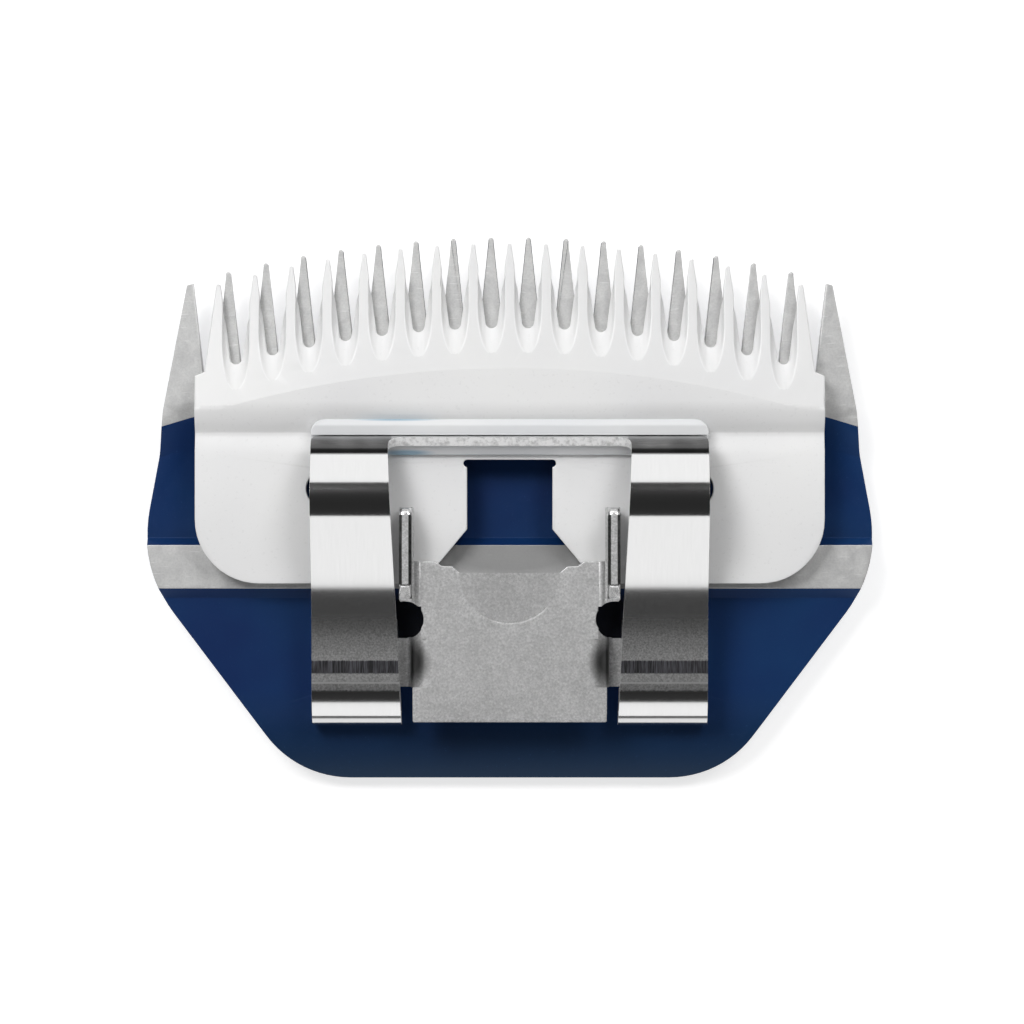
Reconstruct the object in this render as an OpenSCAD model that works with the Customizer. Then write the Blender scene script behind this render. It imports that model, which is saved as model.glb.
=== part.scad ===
// Wide detachable clipper blade set for shearing sheep, in its own frame.
// +X runs across the teeth, +Y towards the tooth tips, +Z up from the skin face.
// The skin face of the comb lies on Z = 0, under the middle of the comb.

/* [Comb] */
// Width of the comb at its widest, over the rail
comb_w = 60.4; // [50:0.1:75]
// Length from the middle tooth tips to the rear edge
comb_l = 45; // [37:0.5:56]
// Height of the cutting plane over the skin face
comb_t = 3.4; // [2.8:0.1:4.2]
// Distance from one comb tooth to the next
comb_pitch = 3.12; // [2.4:0.01:4]
// Width of a comb tooth at its tip
comb_tip_w = 0.38; // [0.3:0.01:0.6]
// Depth of a comb gap from the tip line
comb_gap_l = 10.2; // [8:0.1:12]
// Width of a comb gap at its root
comb_gap_w = 0.7; // [0.5:0.05:1]
// Radius of the arc that the comb tips stand on
comb_arc_r = 96.7; // [80:0.1:130]
// Thickness of a comb tooth at its tip
comb_tip_t = 0.7; // [0.5:0.05:1]
// Width of the ground rail that the cutter rides on
rail_w = 3.55; // [2.8:0.05:4.2]
// Length from the rail to the rear edge
tail_l = 15.85; // [14:0.05:19]
// Depth of the coated hollow between the rail and the front land
hollow_d = 1.1; // [0.7:0.05:1.4]
// Drop from the rail to the tail
tail_drop = 0.8; // [0.5:0.05:1]
// Width of the straight part of the rear edge, to its sharp corners
rear_w = 35.2; // [34:0.1:46]

/* [Cutter] */
// Bare comb on each side of the cutter
cutter_margin = 4.15; // [3:0.1:6]
// Distance from one cutter tooth to the next
cutter_pitch = 3.025; // [2.4:0.002:4]
// Width of a cutter tooth at its tip
cutter_tip_w = 0.3; // [0.24:0.01:0.4]
// Depth of a cutter gap from the tip line
cutter_gap_l = 7.1; // [6.2:0.1:8.5]
// Width of a cutter gap at its root
cutter_gap_w = 1; // [0.7:0.05:1.2]
// How far the cutter tips stand back from the comb tips
cutter_setback = 0.5; // [0.3:0.05:1.2]
// Radius of the arc that the cutter tips stand on
cutter_arc_r = 87; // [75:0.1:130]
// Thickness of the cutter in front of its groove
cutter_front_t = 2.8; // [2.5:0.05:3.3]
// Thickness of the cutter behind its groove
cutter_rear_t = 2; // [1.7:0.05:2.3]
// Width of the notch that the clipper's drive finger fits in
drive_w = 7.06; // [5.9:0.02:8.4]
// Half of the working stroke
stroke = 1.6; // [1.2:0.1:2]

/* [Tension spring] */
// Width over both arms
spring_w = 32.7; // [31:0.1:38]
// Thickness of the spring steel
spring_t = 0.75; // [0.6:0.05:0.9]
// Clear width between the arms at the rear
spring_inner_rear = 17.9; // [17.9:0.1:19]
// Clear width between the arms at the front
spring_inner_front = 20; // [19.7:0.1:21.5]
// Outer radius of the rear fold's lower quarter
fold_r = 1.25; // [1.15:0.01:1.5]
// Distance from the rear edge of the comb to the fold
fold_inset = 4.5; // [3.8:0.1:5.4]

/* [Socket] */
// Thickness of the socket's sheet
socket_t = 1.05; // [0.8:0.05:1.2]
// Clear width for the clipper's hinge tongue
tongue_w = 14.3; // [13.8:0.1:14.6]
// Clear height for the tongue over the rail
tongue_h = 2.5; // [2.5:0.05:3]
// Length of the socket's top plate at its sides
plate_l = 13.26; // [12.6:0.02:13.8]
// Height of the two ears over the top plate
ear_h = 1.65; // [1.2:0.05:2]
// Length of an ear in front of the top plate
ear_reach = 4.45; // [3.8:0.05:4.8]

/* [Screws] */
// Diameter of the screw's shank
screw_d = 2.8; // [2.4:0.1:3]
// Diameter of the countersunk head
head_d = 5.2; // [4.6:0.1:5.6]
// Distance between the two screws
screw_spacing = 25.2; // [24.6:0.1:26]

/* [Fits] */
// Running gap between the cutter and what it slides on
slide_gap = 0.03; // [0.02:0.01:0.05]
// Gap around the screws and between the fixed pieces
seat_gap = 0.05; // [0.02:0.01:0.08]

/* [Hidden] */
$fn = 64;
eps = 0.01;
over = 20;                 // how far a cutting shape runs past what it cuts
bend_step = 7.5;           // degrees of one facet in a bend

blue = "#1b3c66";
ground_steel = "#b9bbbc";

// Places along Y, all counted from the rear edge of the comb
rear_y = -comb_l / 2;
tip_y = comb_l / 2;
rail_rear_y = rear_y + tail_l;
rail_front_y = rail_rear_y + rail_w;
screw_y = rear_y + 9.7;
fold_y = rear_y + fold_inset;
plate_rear_y = fold_y + 0.35;
plate_front_y = plate_rear_y + plate_l;

// Heights, all counted from the skin face
cut_z = comb_t;
hollow_z = cut_z - hollow_d;
tail_z = cut_z - tail_drop;
cutter_z = cut_z + slide_gap;
cutter_rear_z = cutter_z + cutter_rear_t;
cutter_front_z = cutter_z + cutter_front_t;
flange_z = tail_z + spring_t;
plate_z = cut_z + tongue_h;

// Comb outline and teeth
comb_tip_inset = 3.4;      // the outer tooth tip stands inside the widest place by this much
land_inset = 1.36;         // so does the corner beside the front land
waist_inset = 1.07;        // and the waist behind it
hip_out = 0.7;             // the sharp corner of the hip lies outside the widest place
outer_tip_w = 0.4;         // least width of an outer tooth tip
land_l = 11.3;             // from the tips to the rear of the front land
land_bevel = 2.37;         // length of the slope behind the front land
rail_bevel = 0.83;         // length of the slope behind the rail
rail_undercut = 0.6;       // run of the steep wall in front of the rail
tooth_slope_l = 13.5;      // the skin face slopes up over this length to the tips
tail_curve_l = 5.3;        // the tail bends down over this length
tail_curve_d = 1.1;        // and by this much
comb_taper = atan((comb_pitch - comb_tip_w - comb_gap_w) / 2 / (comb_gap_l - comb_gap_w / 2));
comb_half_gaps = floor((comb_w / 2 - comb_tip_inset - outer_tip_w - (comb_pitch - comb_tip_w) / 2)
                       / comb_pitch);
comb_centre_y = tip_y - comb_arc_r;

// Cutter outline and teeth
cutter_half_w = comb_w / 2 - cutter_margin;
cutter_tip_y = tip_y - cutter_setback;
cutter_rear_y = rail_front_y - 3.15;   // the rear foot stays on the rail
cutter_corner_r = 5.3;
crease_l = 10.47;          // from the cutter tips to the crease behind the teeth
crease_y = cutter_tip_y - crease_l;
cutter_tip_t = 0.5;
shoulder_l = 0.8;          // ledge beside the outer cutter teeth
cutter_half_teeth = floor((cutter_half_w - cutter_pitch / 2) / cutter_pitch);
cutter_taper = atan((cutter_pitch - cutter_tip_w - cutter_gap_w) / 2
                    / (cutter_gap_l - cutter_gap_w / 2));
front_slope = atan((cutter_front_t - cutter_tip_t) / crease_l);
scoop_r = 1.1;
scoop_dip = 16;            // how much steeper a scoop runs than the slope it is cut in
scoop_back = 2.08;         // a scoop starts this far behind the root of its gap
hole_r = 1.59;
hole_x = 15.27;
rib_l = 1.2;               // guiding rib in front of the rail
rib_h = 0.5;
rear_bevel_l = 4.4;
rear_bevel_d = 0.3;
drive_chamfer_y = cutter_rear_y + 4.5;
drive_front_y = drive_chamfer_y + 5.75;
drive_rear_half = drive_w / 2 + 3.71;

// Spring profile: how the arms run from the fold to the foot
rise_a = 27;               // slope of the long rise
fall_a = 30;               // slope behind the foot
foot_a = 80;               // slope of the foot itself
shoulder_a = 34;           // the upper leaf bends down by this much before the fold
shoulder_r = 4.92;
fold_top_r = 1.55;         // middle radius of the fold's upper quarter
leaf_l = 7.45;
flat_l = 1.99;
rise_r = 15.65;
rise_l = 4.88;
crest_r = 3.25;
fall_l = 1.82;
curl_r = 3.38;
leaf_z = tail_z + spring_t / 2;
fold_centre_r = fold_r - spring_t / 2;
arm_z = leaf_z + fold_centre_r + fold_top_r * cos(shoulder_a) + shoulder_r * (1 - cos(shoulder_a));
fold_start_y = fold_y + fold_r;
flat_start_y = fold_y + spring_t / 2 + fold_top_r + (shoulder_r - fold_top_r) * sin(shoulder_a);
foot_floor_z = cutter_rear_z - 0.4;              // floor of the cutter's groove
guide_web_t = 0.6;                               // guide under the spring's foot
curl_end_y = flat_start_y + flat_l + rise_r * sin(rise_a) + rise_l * cos(rise_a)
             + crest_r * (sin(rise_a) + sin(fall_a)) + fall_l * cos(fall_a)
             + curl_r * (sin(foot_a) - sin(fall_a));
curl_end_z = arm_z + rise_r * (1 - cos(rise_a)) + rise_l * sin(rise_a)
             + crest_r * (cos(fall_a) - cos(rise_a)) - fall_l * sin(fall_a)
             - curl_r * (cos(fall_a) - cos(foot_a));
foot_z = foot_floor_z + slide_gap + guide_web_t + seat_gap;
foot_l = (curl_end_z - foot_z) / sin(foot_a) - spring_t / 2 / tan(foot_a);
foot_y = curl_end_y + foot_l * cos(foot_a);
window_z = foot_z + 1.25;                        // lower edge of the opening between the arms
window_r = 1.1;
foot_corner_r = 2;

// Cutter groove and the guide in it, placed by the spring's foot
groove_y = foot_y + 0.35;
groove_front = 1.5;        // run of the groove's front slope
groove_rear = 1.2;         // run of its rear slope
groove_flat = 0.4;
guide_front = 1.25;        // guide in front of the foot's face
guide_rear = 0.95;         // guide behind the foot
guide_overhang = 0.1;      // guide past each end of the spring
guide_lip_h = 0.85;        // guide beside the foot

// Socket
bend_out_r = 1.6;          // outer radius of the bends at the tongue's sides
flange_r = 0.9;            // middle radius of the flange's bend
ear_bend_r = 0.6;          // inner radius of the bend below an ear
wall_x = tongue_w / 2 + socket_t / 2;
wall_l = 4;                // length of a side wall
wall_rear_y = plate_rear_y + 2.85;
flange_c = flange_z + socket_t / 2;
plate_c = plate_z + socket_t / 2;
lip_half = wall_x + socket_t / 2 - 0.2;
notch_r = 1.5;
notch_x = wall_x + 0.93;
notch_y = wall_rear_y + wall_l + notch_r + 0.12;
ear_x = lip_half + 0.425;
ear_base = ear_x - ear_bend_r - socket_t / 2;
ear_rear_y = notch_y + 1.06;
ear_top_z = plate_z + socket_t + ear_h;
flange_pad_r = 3.1;

// Screws
head_h = (head_d - screw_d) / 2;
screw_tip_z = flange_z + socket_t + 0.3;
slot_w = 0.8;
slot_d = 0.7;

// ---- shared shapes ----

// Points of an arc between two tangents that meet at b, for a corner of radius r
function corner_points(a, b, c, r, steps = 12) =
  let (
    u = (a - b) / norm(a - b),
    v = (c - b) / norm(c - b),
    half = acos(max(-1, min(1, u * v))) / 2,
    m = (u + v) / norm(u + v),
    o = b + m * r / sin(half),
    from = b + u * r / tan(half) - o,
    to = b + v * r / tan(half) - o,
    a0 = atan2(from[1], from[0]),
    turn = (atan2(to[1], to[0]) - a0 + 540) % 360 - 180
  )
  [for (i = [0:steps]) o + r * [cos(a0 + turn * i / steps), sin(a0 + turn * i / steps)]];

// Closed outline whose corners [x, y, r] are rounded; a corner with r = 0 stays sharp
function rounded(corners) =
  let (n = len(corners))
  [for (i = [0:n - 1])
    let (
      a = corners[(i + n - 1) % n],
      b = corners[i],
      c = corners[(i + 1) % n]
    )
    each b[2] == 0 ? [[b[0], b[1]]]
                   : corner_points([a[0], a[1]], [b[0], b[1]], [c[0], c[1]], b[2])];

// Right half of an outline and its mirror image, as one closed outline
function both_sides(half) =
  concat(half, [for (i = [len(half) - 1:-1:0]) [-half[i][0], half[i][1], half[i][2]]]);

// Stations [point, heading] along a bent strip. A step is [length] or [radius, turn].
function walk(p, a, steps, i = 0) =
  i == len(steps) ? [[p, a]]
  : len(steps[i]) == 1
    ? concat([[p, a]], walk(p + steps[i][0] * [cos(a), sin(a)], a, steps, i + 1))
    : let (
        r = steps[i][0],
        turn = steps[i][1],
        s = sign(turn),
        o = p + r * s * [-sin(a), cos(a)],
        n = ceil(abs(turn) / bend_step)
      )
      concat(
        [for (k = [0:n - 1]) let (b = a + turn * k / n) [o + r * s * [sin(b), -cos(b)], b]],
        walk(o + r * s * [sin(a + turn), -cos(a + turn)], a + turn, steps, i + 1)
      );

// Closed outline of a strip of thickness t whose middle line has those stations
function strip(stations, t) =
  let (side = function(s) [for (q = stations) q[0] + s * t / 2 * [-sin(q[1]), cos(q[1])]])
  let (left = side(1), right = side(-1))
  concat(left, [for (i = [len(right) - 1:-1:0]) right[i]]);

// A gap that opens from a round root at the origin towards +Y
module tooth_gap(root_w, taper, length) {
  r = root_w / 2;
  translate([0, r]) circle(r);
  side = [r * cos(taper), r - r * sin(taper)];
  far = side + length * [sin(taper), cos(taper)];
  polygon([side, far, [-far[0], far[1]], [-side[0], side[1]]]);
}

// A profile drawn in Y and Z, drawn out along X over the whole width w
module across(w) {
  translate([-w / 2, 0, 0]) rotate([90, 0, 90]) linear_extrude(w) children();
}

// A profile drawn in X and Z, drawn out along Y from y0 to y1
module along(y0, y1) {
  translate([0, y1, 0]) rotate([90, 0, 0]) linear_extrude(y1 - y0) children();
}

// Y of an arc of radius r that crosses the middle at y
function arc_y(x, y, r) = y - r + sqrt(r * r - x * x);

// ---- comb ----

comb_outline = both_sides([
  [rear_w / 2, rear_y, 8.65],
  [comb_w / 2 + hip_out, (rail_front_y + rail_rear_y) / 2, 11],
  [comb_w / 2 - waist_inset, rail_front_y + 7.7, 8],
  [comb_w / 2 - land_inset, rail_front_y + 11.2, 8],
  [comb_w / 2 - comb_tip_inset, tip_y - 3.85, 0],
  [comb_w / 2 - comb_tip_inset, tip_y + 1, 0]
]);

module comb_plan() {
  tip_r = comb_tip_w / 2;
  difference() {
    intersection() {
      polygon(rounded(comb_outline));
      translate([0, comb_centre_y]) circle(comb_arc_r - tip_r, $fn = 256);
    }
    for (i = [-comb_half_gaps:comb_half_gaps])
      let (x = i * comb_pitch)
        translate([x, arc_y(x, tip_y - comb_gap_l, comb_arc_r)])
          tooth_gap(comb_gap_w, comb_taper, comb_gap_l + 2);
  }
  for (i = [-comb_half_gaps:comb_half_gaps - 1])
    let (x = (i + 0.5) * comb_pitch)
      translate([x, arc_y(x, tip_y, comb_arc_r) - tip_r]) circle(tip_r, $fn = 24);
}

// Side view of the blank: rail, bevel and the tail that bends down
tail_curve_r = (tail_curve_l * tail_curve_l + tail_curve_d * tail_curve_d) / 2 / tail_curve_d;
comb_side = concat(
  [[rear_y, 0], [tip_y, 0], [tip_y, cut_z], [rail_rear_y, cut_z],
   [rail_rear_y - rail_bevel, tail_z]],
  [for (i = [0:8])
    let (y = tail_curve_l * i / 8)
      [rear_y + tail_curve_l - y, tail_z - tail_curve_r + sqrt(tail_curve_r * tail_curve_r - y * y)]]
);

module comb_hollow() {
  land_y = tip_y - land_l;
  intersection() {
    translate([0, land_y - comb_arc_r, 0])
      rotate_extrude($fn = 256)
        polygon([[comb_arc_r, cut_z], [comb_arc_r - land_bevel, hollow_z], [comb_arc_r - 26, hollow_z],
                 [comb_arc_r - 26, cut_z + 1], [comb_arc_r, cut_z + 1]]);
    across(comb_w + 4)
      polygon([[rail_front_y, cut_z], [rail_front_y, cut_z + 1], [tip_y, cut_z + 1],
               [tip_y, hollow_z - 1], [rail_front_y + rail_undercut, hollow_z - 1],
               [rail_front_y + rail_undercut, hollow_z]]);
  }
}

module comb() {
  color(blue)
    difference() {
      intersection() {
        linear_extrude(cut_z) comb_plan();
        across(comb_w + 4) polygon(comb_side);
      }
      comb_hollow();
      // the skin face slopes up to thin tips
      translate([0, comb_centre_y, 0])
        rotate_extrude($fn = 256)
          polygon([[comb_arc_r - tooth_slope_l, 0], [comb_arc_r, cut_z - comb_tip_t],
                   [comb_arc_r + 1, cut_z - comb_tip_t], [comb_arc_r + 1, -1],
                   [comb_arc_r - tooth_slope_l, -1]]);
      for (side = [-1, 1])
        translate([side * screw_spacing / 2, screw_y, 0]) {
          translate([0, 0, -eps]) cylinder(r = screw_d / 2 + 3 * seat_gap, h = cut_z);
          translate([0, 0, -eps])
            cylinder(r1 = head_d / 2 + seat_gap + eps, r2 = screw_d / 2 + seat_gap, h = head_h + eps);
        }
    }
}

// ---- cutter ----

end_tooth_x = cutter_half_teeth * cutter_pitch;
shoulder_x = cutter_half_w - shoulder_l;
shoulder_y = arc_y(shoulder_x, cutter_tip_y - cutter_gap_l, cutter_arc_r) + 0.1;

cutter_outline = both_sides([
  [cutter_half_w, cutter_rear_y, cutter_corner_r],
  [cutter_half_w, shoulder_y - 0.35, 0],
  [shoulder_x, shoulder_y, 0],
  [end_tooth_x + cutter_tip_w / 2, arc_y(end_tooth_x, cutter_tip_y, cutter_arc_r), 0],
  [end_tooth_x + cutter_tip_w / 2, cutter_tip_y + 1, 0]
]);

module cutter_plan() {
  tip_r = cutter_tip_w / 2;
  difference() {
    intersection() {
      polygon(rounded(cutter_outline));
      translate([0, cutter_tip_y - cutter_arc_r]) circle(cutter_arc_r - tip_r, $fn = 256);
    }
    for (i = [-cutter_half_teeth:cutter_half_teeth - 1])
      let (x = (i + 0.5) * cutter_pitch)
        translate([x, arc_y(x, cutter_tip_y - cutter_gap_l, cutter_arc_r)])
          tooth_gap(cutter_gap_w, cutter_taper, cutter_gap_l + 2);
    drive_notch();
    for (side = [-1, 1])
      translate([side * hole_x, drive_front_y - 2.4]) circle(hole_r);
  }
  for (i = [-cutter_half_teeth:cutter_half_teeth])
    let (x = i * cutter_pitch)
      translate([x, arc_y(x, cutter_tip_y, cutter_arc_r) - tip_r]) circle(tip_r, $fn = 24);
}

// Opening for the drive finger, with a small relief in each front corner
module drive_notch() {
  relief_r = 0.3;
  half = drive_w / 2;
  slant = (drive_rear_half - half) / (drive_chamfer_y - cutter_rear_y);
  rear = [drive_rear_half + slant, cutter_rear_y - 1];
  polygon([[half, drive_front_y], [half, drive_chamfer_y], rear, [-rear[0], rear[1]],
           [-half, drive_chamfer_y], [-half, drive_front_y]]);
  for (side = [-1, 1])
    translate([side * half, drive_front_y - relief_r]) circle(relief_r, $fn = 24);
}

// One groove behind and between two teeth, round at its rear end
module scoop(x) {
  root_y = arc_y(x, cutter_tip_y - cutter_gap_l, cutter_arc_r);
  start_y = root_y - scoop_back;
  crease_here = arc_y(x, crease_y, cutter_arc_r);
  start_z = cutter_front_z - (start_y - crease_here) * tan(front_slope);
  translate([x, start_y, start_z])
    rotate([-front_slope - scoop_dip, 0, 0])
      along(-2, 14)
        union() {
          translate([0, scoop_r]) circle(scoop_r, $fn = 48);
          translate([-scoop_r, scoop_r]) square([2 * scoop_r, 6]);
        }
}

// The groove across the cutter that the spring's guide lies in
groove_profile = [
  [groove_y + groove_flat / 2 + groove_front, cutter_front_z],
  [groove_y + groove_flat / 2, foot_floor_z],
  [groove_y - groove_flat / 2, foot_floor_z],
  [groove_y - groove_flat / 2 - groove_rear, cutter_rear_z],
  [cutter_rear_y + rear_bevel_l, cutter_rear_z],
  [cutter_rear_y - 1, cutter_rear_z - rear_bevel_d * (rear_bevel_l + 1) / rear_bevel_l],
  [cutter_rear_y - 1, cutter_front_z + 1],
  [groove_y + groove_flat / 2 + groove_front, cutter_front_z + 1]
];

module cutter() {
  color("white")
    difference() {
      translate([0, 0, cutter_z - rib_h])
        linear_extrude(cutter_front_t + rib_h) cutter_plan();
      // below: only the rib reaches under the cutting plane
      across(comb_w)
        polygon([[cutter_rear_y - 1, cutter_z - rib_h - 1], [tip_y + 1, cutter_z - rib_h - 1],
                 [tip_y + 1, cutter_z], [rail_front_y + rail_undercut + rib_l, cutter_z],
                 [rail_front_y + rail_undercut + rib_l, cutter_z - rib_h],
                 [rail_front_y + rail_undercut, cutter_z - rib_h],
                 [rail_front_y + rail_undercut, cutter_z], [cutter_rear_y - 1, cutter_z]]);
      // hollow between the rib and the ground front
      intersection() {
        translate([0, tip_y - land_l - 0.6 - comb_arc_r, cutter_z - 1])
          cylinder(r = comb_arc_r, h = 1.5, $fn = 256);
        translate([-comb_w / 2, rail_front_y + rail_undercut + rib_l, cutter_z - 1])
          cube([comb_w, comb_l, 1.5]);
      }
      across(comb_w) polygon(groove_profile);
      // the front slopes down to thin tips
      translate([0, crease_y - cutter_arc_r, 0])
        rotate_extrude($fn = 256)
          polygon([[cutter_arc_r, cutter_front_z],
                   [cutter_arc_r + 14, cutter_front_z - 14 * tan(front_slope)],
                   [cutter_arc_r + 14, cutter_front_z + 2], [cutter_arc_r, cutter_front_z + 2]]);
      for (i = [-cutter_half_teeth:cutter_half_teeth - 1])
        scoop((i + 0.5) * cutter_pitch);
    }
}

// ---- tension spring ----

spring_path = walk([fold_start_y + leaf_l, leaf_z], 180, [
  [leaf_l],
  [fold_centre_r, -90],
  [fold_top_r, shoulder_a - 90],
  [shoulder_r, -shoulder_a],
  [flat_l],
  [rise_r, rise_a],
  [rise_l],
  [crest_r, -rise_a - fall_a],
  [fall_l],
  [curl_r, fall_a - foot_a],
  [foot_l]
]);

// Opening between the arms, which are a little wider at the rear
module arm_gap() {
  polygon([[spring_inner_rear / 2, fold_y - 1], [spring_inner_front / 2, foot_y - 1.2],
           [-spring_inner_front / 2, foot_y - 1.2], [-spring_inner_rear / 2, fold_y - 1]]);
}

module tension_spring() {
  color("silver")
    difference() {
      across(spring_w) polygon(strip(spring_path, spring_t));
      translate([0, 0, -over / 2]) linear_extrude(2 * over) arm_gap();
      // the opening's front edge is high on the curl
      along(foot_y - 1.2 - eps, foot_y + 2)
        polygon(rounded([[spring_inner_front / 2, window_z, window_r],
                         [spring_inner_front / 2, window_z + over, 0],
                         [-spring_inner_front / 2, window_z + over, 0],
                         [-spring_inner_front / 2, window_z, window_r]]));
      // round the lower corners of the foot
      for (side = [-1, 1])
        along(foot_y - 1.5, foot_y + 2)
          difference() {
            translate([side * (spring_w / 2 - foot_corner_r / 2 + 1), foot_z + foot_corner_r / 2 - 1])
              square(foot_corner_r + 2, center = true);
            translate([side * (spring_w / 2 - foot_corner_r), foot_z + foot_corner_r])
              circle(foot_corner_r);
            translate([side * (spring_w / 2 - foot_corner_r - over / 2), foot_z + over / 2])
              square(over, center = true);
            translate([side * (spring_w / 2 - over / 2), foot_z + foot_corner_r + over / 2])
              square(over, center = true);
          }
      for (side = [-1, 1])
        translate([side * screw_spacing / 2, screw_y, tail_z - 1])
          cylinder(r = screw_d / 2 + 3 * seat_gap, h = spring_t + 1.2);
    }
}

// ---- spring guide ----

foot_face_y = foot_y + spring_t / 2 / sin(foot_a);
foot_back_y = foot_y - spring_t / 2 / sin(foot_a);
guide_under = slide_gap / cos(atan(cutter_front_t / groove_front));

module spring_guide() {
  guide_w = spring_w + 2 * guide_overhang;
  front_y = foot_face_y + guide_front;
  back_y = foot_back_y - guide_rear;
  lip_z = foot_z + guide_lip_h;
  groove_slope = (cutter_front_z - foot_floor_z) / groove_front;
  front_z = foot_floor_z + (front_y - groove_y - groove_flat / 2) * groove_slope + 2 * slide_gap;
  lean = (lip_z - foot_z) / tan(foot_a);
  color("azure")
    intersection() {
      across(guide_w)
        polygon([
          [groove_y - groove_flat / 2, foot_floor_z + slide_gap],
          [groove_y + groove_flat / 2, foot_floor_z + 2 * slide_gap],
          [front_y, front_z],
          [front_y, front_z + 0.25],
          [front_y - 0.5, max(lip_z, front_z + 0.4)],
          [foot_face_y - lean + seat_gap, lip_z],
          [foot_face_y + seat_gap, foot_z - seat_gap],
          [foot_back_y - seat_gap, foot_z - seat_gap],
          [foot_back_y - lean - seat_gap, lip_z],
          [back_y, cutter_rear_z + 0.45],
          [back_y, cutter_rear_z + slide_gap],
          [groove_y - groove_flat / 2 - groove_rear, cutter_rear_z + slide_gap]
        ]);
      translate([0, 0, foot_floor_z - 1])
        linear_extrude(6)
          polygon(rounded([[guide_w / 2, back_y, 0.4], [guide_w / 2, front_y, 1.2],
                           [-guide_w / 2, front_y, 1.2], [-guide_w / 2, back_y, 0.4]]));
    }
}

// ---- socket ----

// Side walls and flanges, drawn in X and Z
wall_path = walk([0, plate_c], 0, [
  [wall_x - bend_out_r + socket_t / 2],
  [bend_out_r - socket_t / 2, -90],
  [plate_c - flange_c - bend_out_r + socket_t / 2 - flange_r],
  [flange_r, 90],
  [screw_spacing / 2 + flange_pad_r - wall_x - flange_r]
]);

ear_path = walk([0, plate_c], 0, [
  [ear_x - ear_bend_r - socket_t / 2],
  [ear_bend_r + socket_t / 2, 90],
  [ear_top_z - plate_c - ear_bend_r - socket_t / 2]
]);

// The plate's front edge dips in the middle, where the hinge's catch holds it
module plate_plan() {
  bend_x = wall_x + socket_t / 2 - bend_out_r;
  polygon(rounded(both_sides([
    [lip_half, plate_rear_y, 0.15],
    [lip_half, wall_rear_y, 0],
    [bend_x, wall_rear_y, 0],
    [bend_x, wall_rear_y + wall_l, 0],
    [ear_base, wall_rear_y + wall_l, 0],
    [ear_base, plate_front_y, 0.15],
    [6.15, plate_front_y, 0.4],
    [5.6, plate_front_y - 0.4, 0.3],
    [4.75, plate_front_y - 0.42, 0.3],
    [4.1, plate_front_y - 0.95, 0.3]
  ])));
}

// Pressed half-moon that meets the front edge of the plate
module half_moon() {
  moon_r = 4.15;
  moon_d = 0.16;
  translate([0, plate_front_y - 0.95 - moon_r, plate_z + socket_t - moon_d])
    rotate([asin(moon_d / moon_r), 0, 0])
      translate([0, moon_r, 0]) cylinder(r = moon_r, h = 2);
}

module socket() {
  tapped_r = screw_d / 2 + 0.01;
  front_end = plate_front_y + ear_reach;
  color("lightgray")
    difference() {
      union() {
        difference() {
          translate([0, 0, plate_z]) linear_extrude(socket_t) plate_plan();
          half_moon();
        }
        for (side = [0, 1])
          mirror([side, 0, 0]) {
            intersection() {
              along(wall_rear_y, wall_rear_y + wall_l) polygon(strip(wall_path, socket_t));
              translate([0, 0, flange_z - 1]) linear_extrude(over) wall_plan();
            }
            flange_pad();
            ear(front_end);
          }
      }
      for (side = [-1, 1]) {
        translate([side * notch_x, notch_y, flange_z + socket_t + 0.05])
          cylinder(r = notch_r, h = over);
        translate([side * screw_spacing / 2, screw_y, flange_z - 1])
          cylinder(r = tapped_r, h = socket_t + 2);
      }
    }
}

// The bent walls keep clear of the opposite side
module wall_plan() {
  translate([wall_x - bend_out_r, wall_rear_y])
    square([screw_spacing / 2 - wall_x + bend_out_r, wall_l]);
}

// Round pad of the flange around its screw
module flange_pad() {
  translate([screw_spacing / 2, screw_y, flange_z])
    cylinder(r = flange_pad_r, h = socket_t);
}

// One ear: bent up from the plate, and reaching forward over the cutter
module ear(front_end) {
  inner = ear_x - socket_t / 2;
  intersection() {
    union() {
      along(ear_rear_y, plate_front_y) polygon(strip(ear_path, socket_t));
      along(plate_front_y - eps, front_end)
        translate([inner, plate_z]) square([socket_t, ear_top_z - plate_z]);
    }
    across(2 * over)
      polygon(rounded([
        [ear_rear_y, plate_z - 1, 0],
        [ear_rear_y, plate_z + socket_t, 0],
        [ear_rear_y + 1.7, ear_top_z, 0.5],
        [front_end, ear_top_z, 0.7],
        [front_end, plate_z, 0.4],
        [plate_front_y, plate_z, 0],
        [plate_front_y, plate_z - 1, 0]
      ]));
    translate([ear_base - 0.5, ear_rear_y - 1, plate_z - 1]) cube(over);
  }
}

// ---- screws ----

module screw(side) {
  color("dimgray")
    translate([side * screw_spacing / 2, screw_y, 0])
      difference() {
        union() {
          translate([0, 0, seat_gap])
            cylinder(r1 = head_d / 2 - seat_gap, r2 = screw_d / 2, h = head_h - seat_gap);
          translate([0, 0, head_h / 2]) cylinder(r = screw_d / 2, h = screw_tip_z - head_h / 2);
        }
        translate([-head_d, -slot_w / 2, -1]) cube([2 * head_d, slot_w, slot_d + 1]);
      }
}

comb();
cutter();
tension_spring();
spring_guide();
socket();
screw(-1);  // screw_left
screw(1);  // screw_right
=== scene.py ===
"""Looks of a wide detachable blade set for a shearing clipper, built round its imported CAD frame.

The comb lies on its skin face with its teeth towards +Y. Lengths named in millimetres are
turned to metres by ``mm``; everything else is in metres, in the frame of the CAD part.
"""

import logging
import math
from dataclasses import dataclass, field
from enum import Enum
from functools import partial
from typing import Callable, Iterable, Sequence

import bmesh
import bpy
from mathutils import Matrix, Vector

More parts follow.
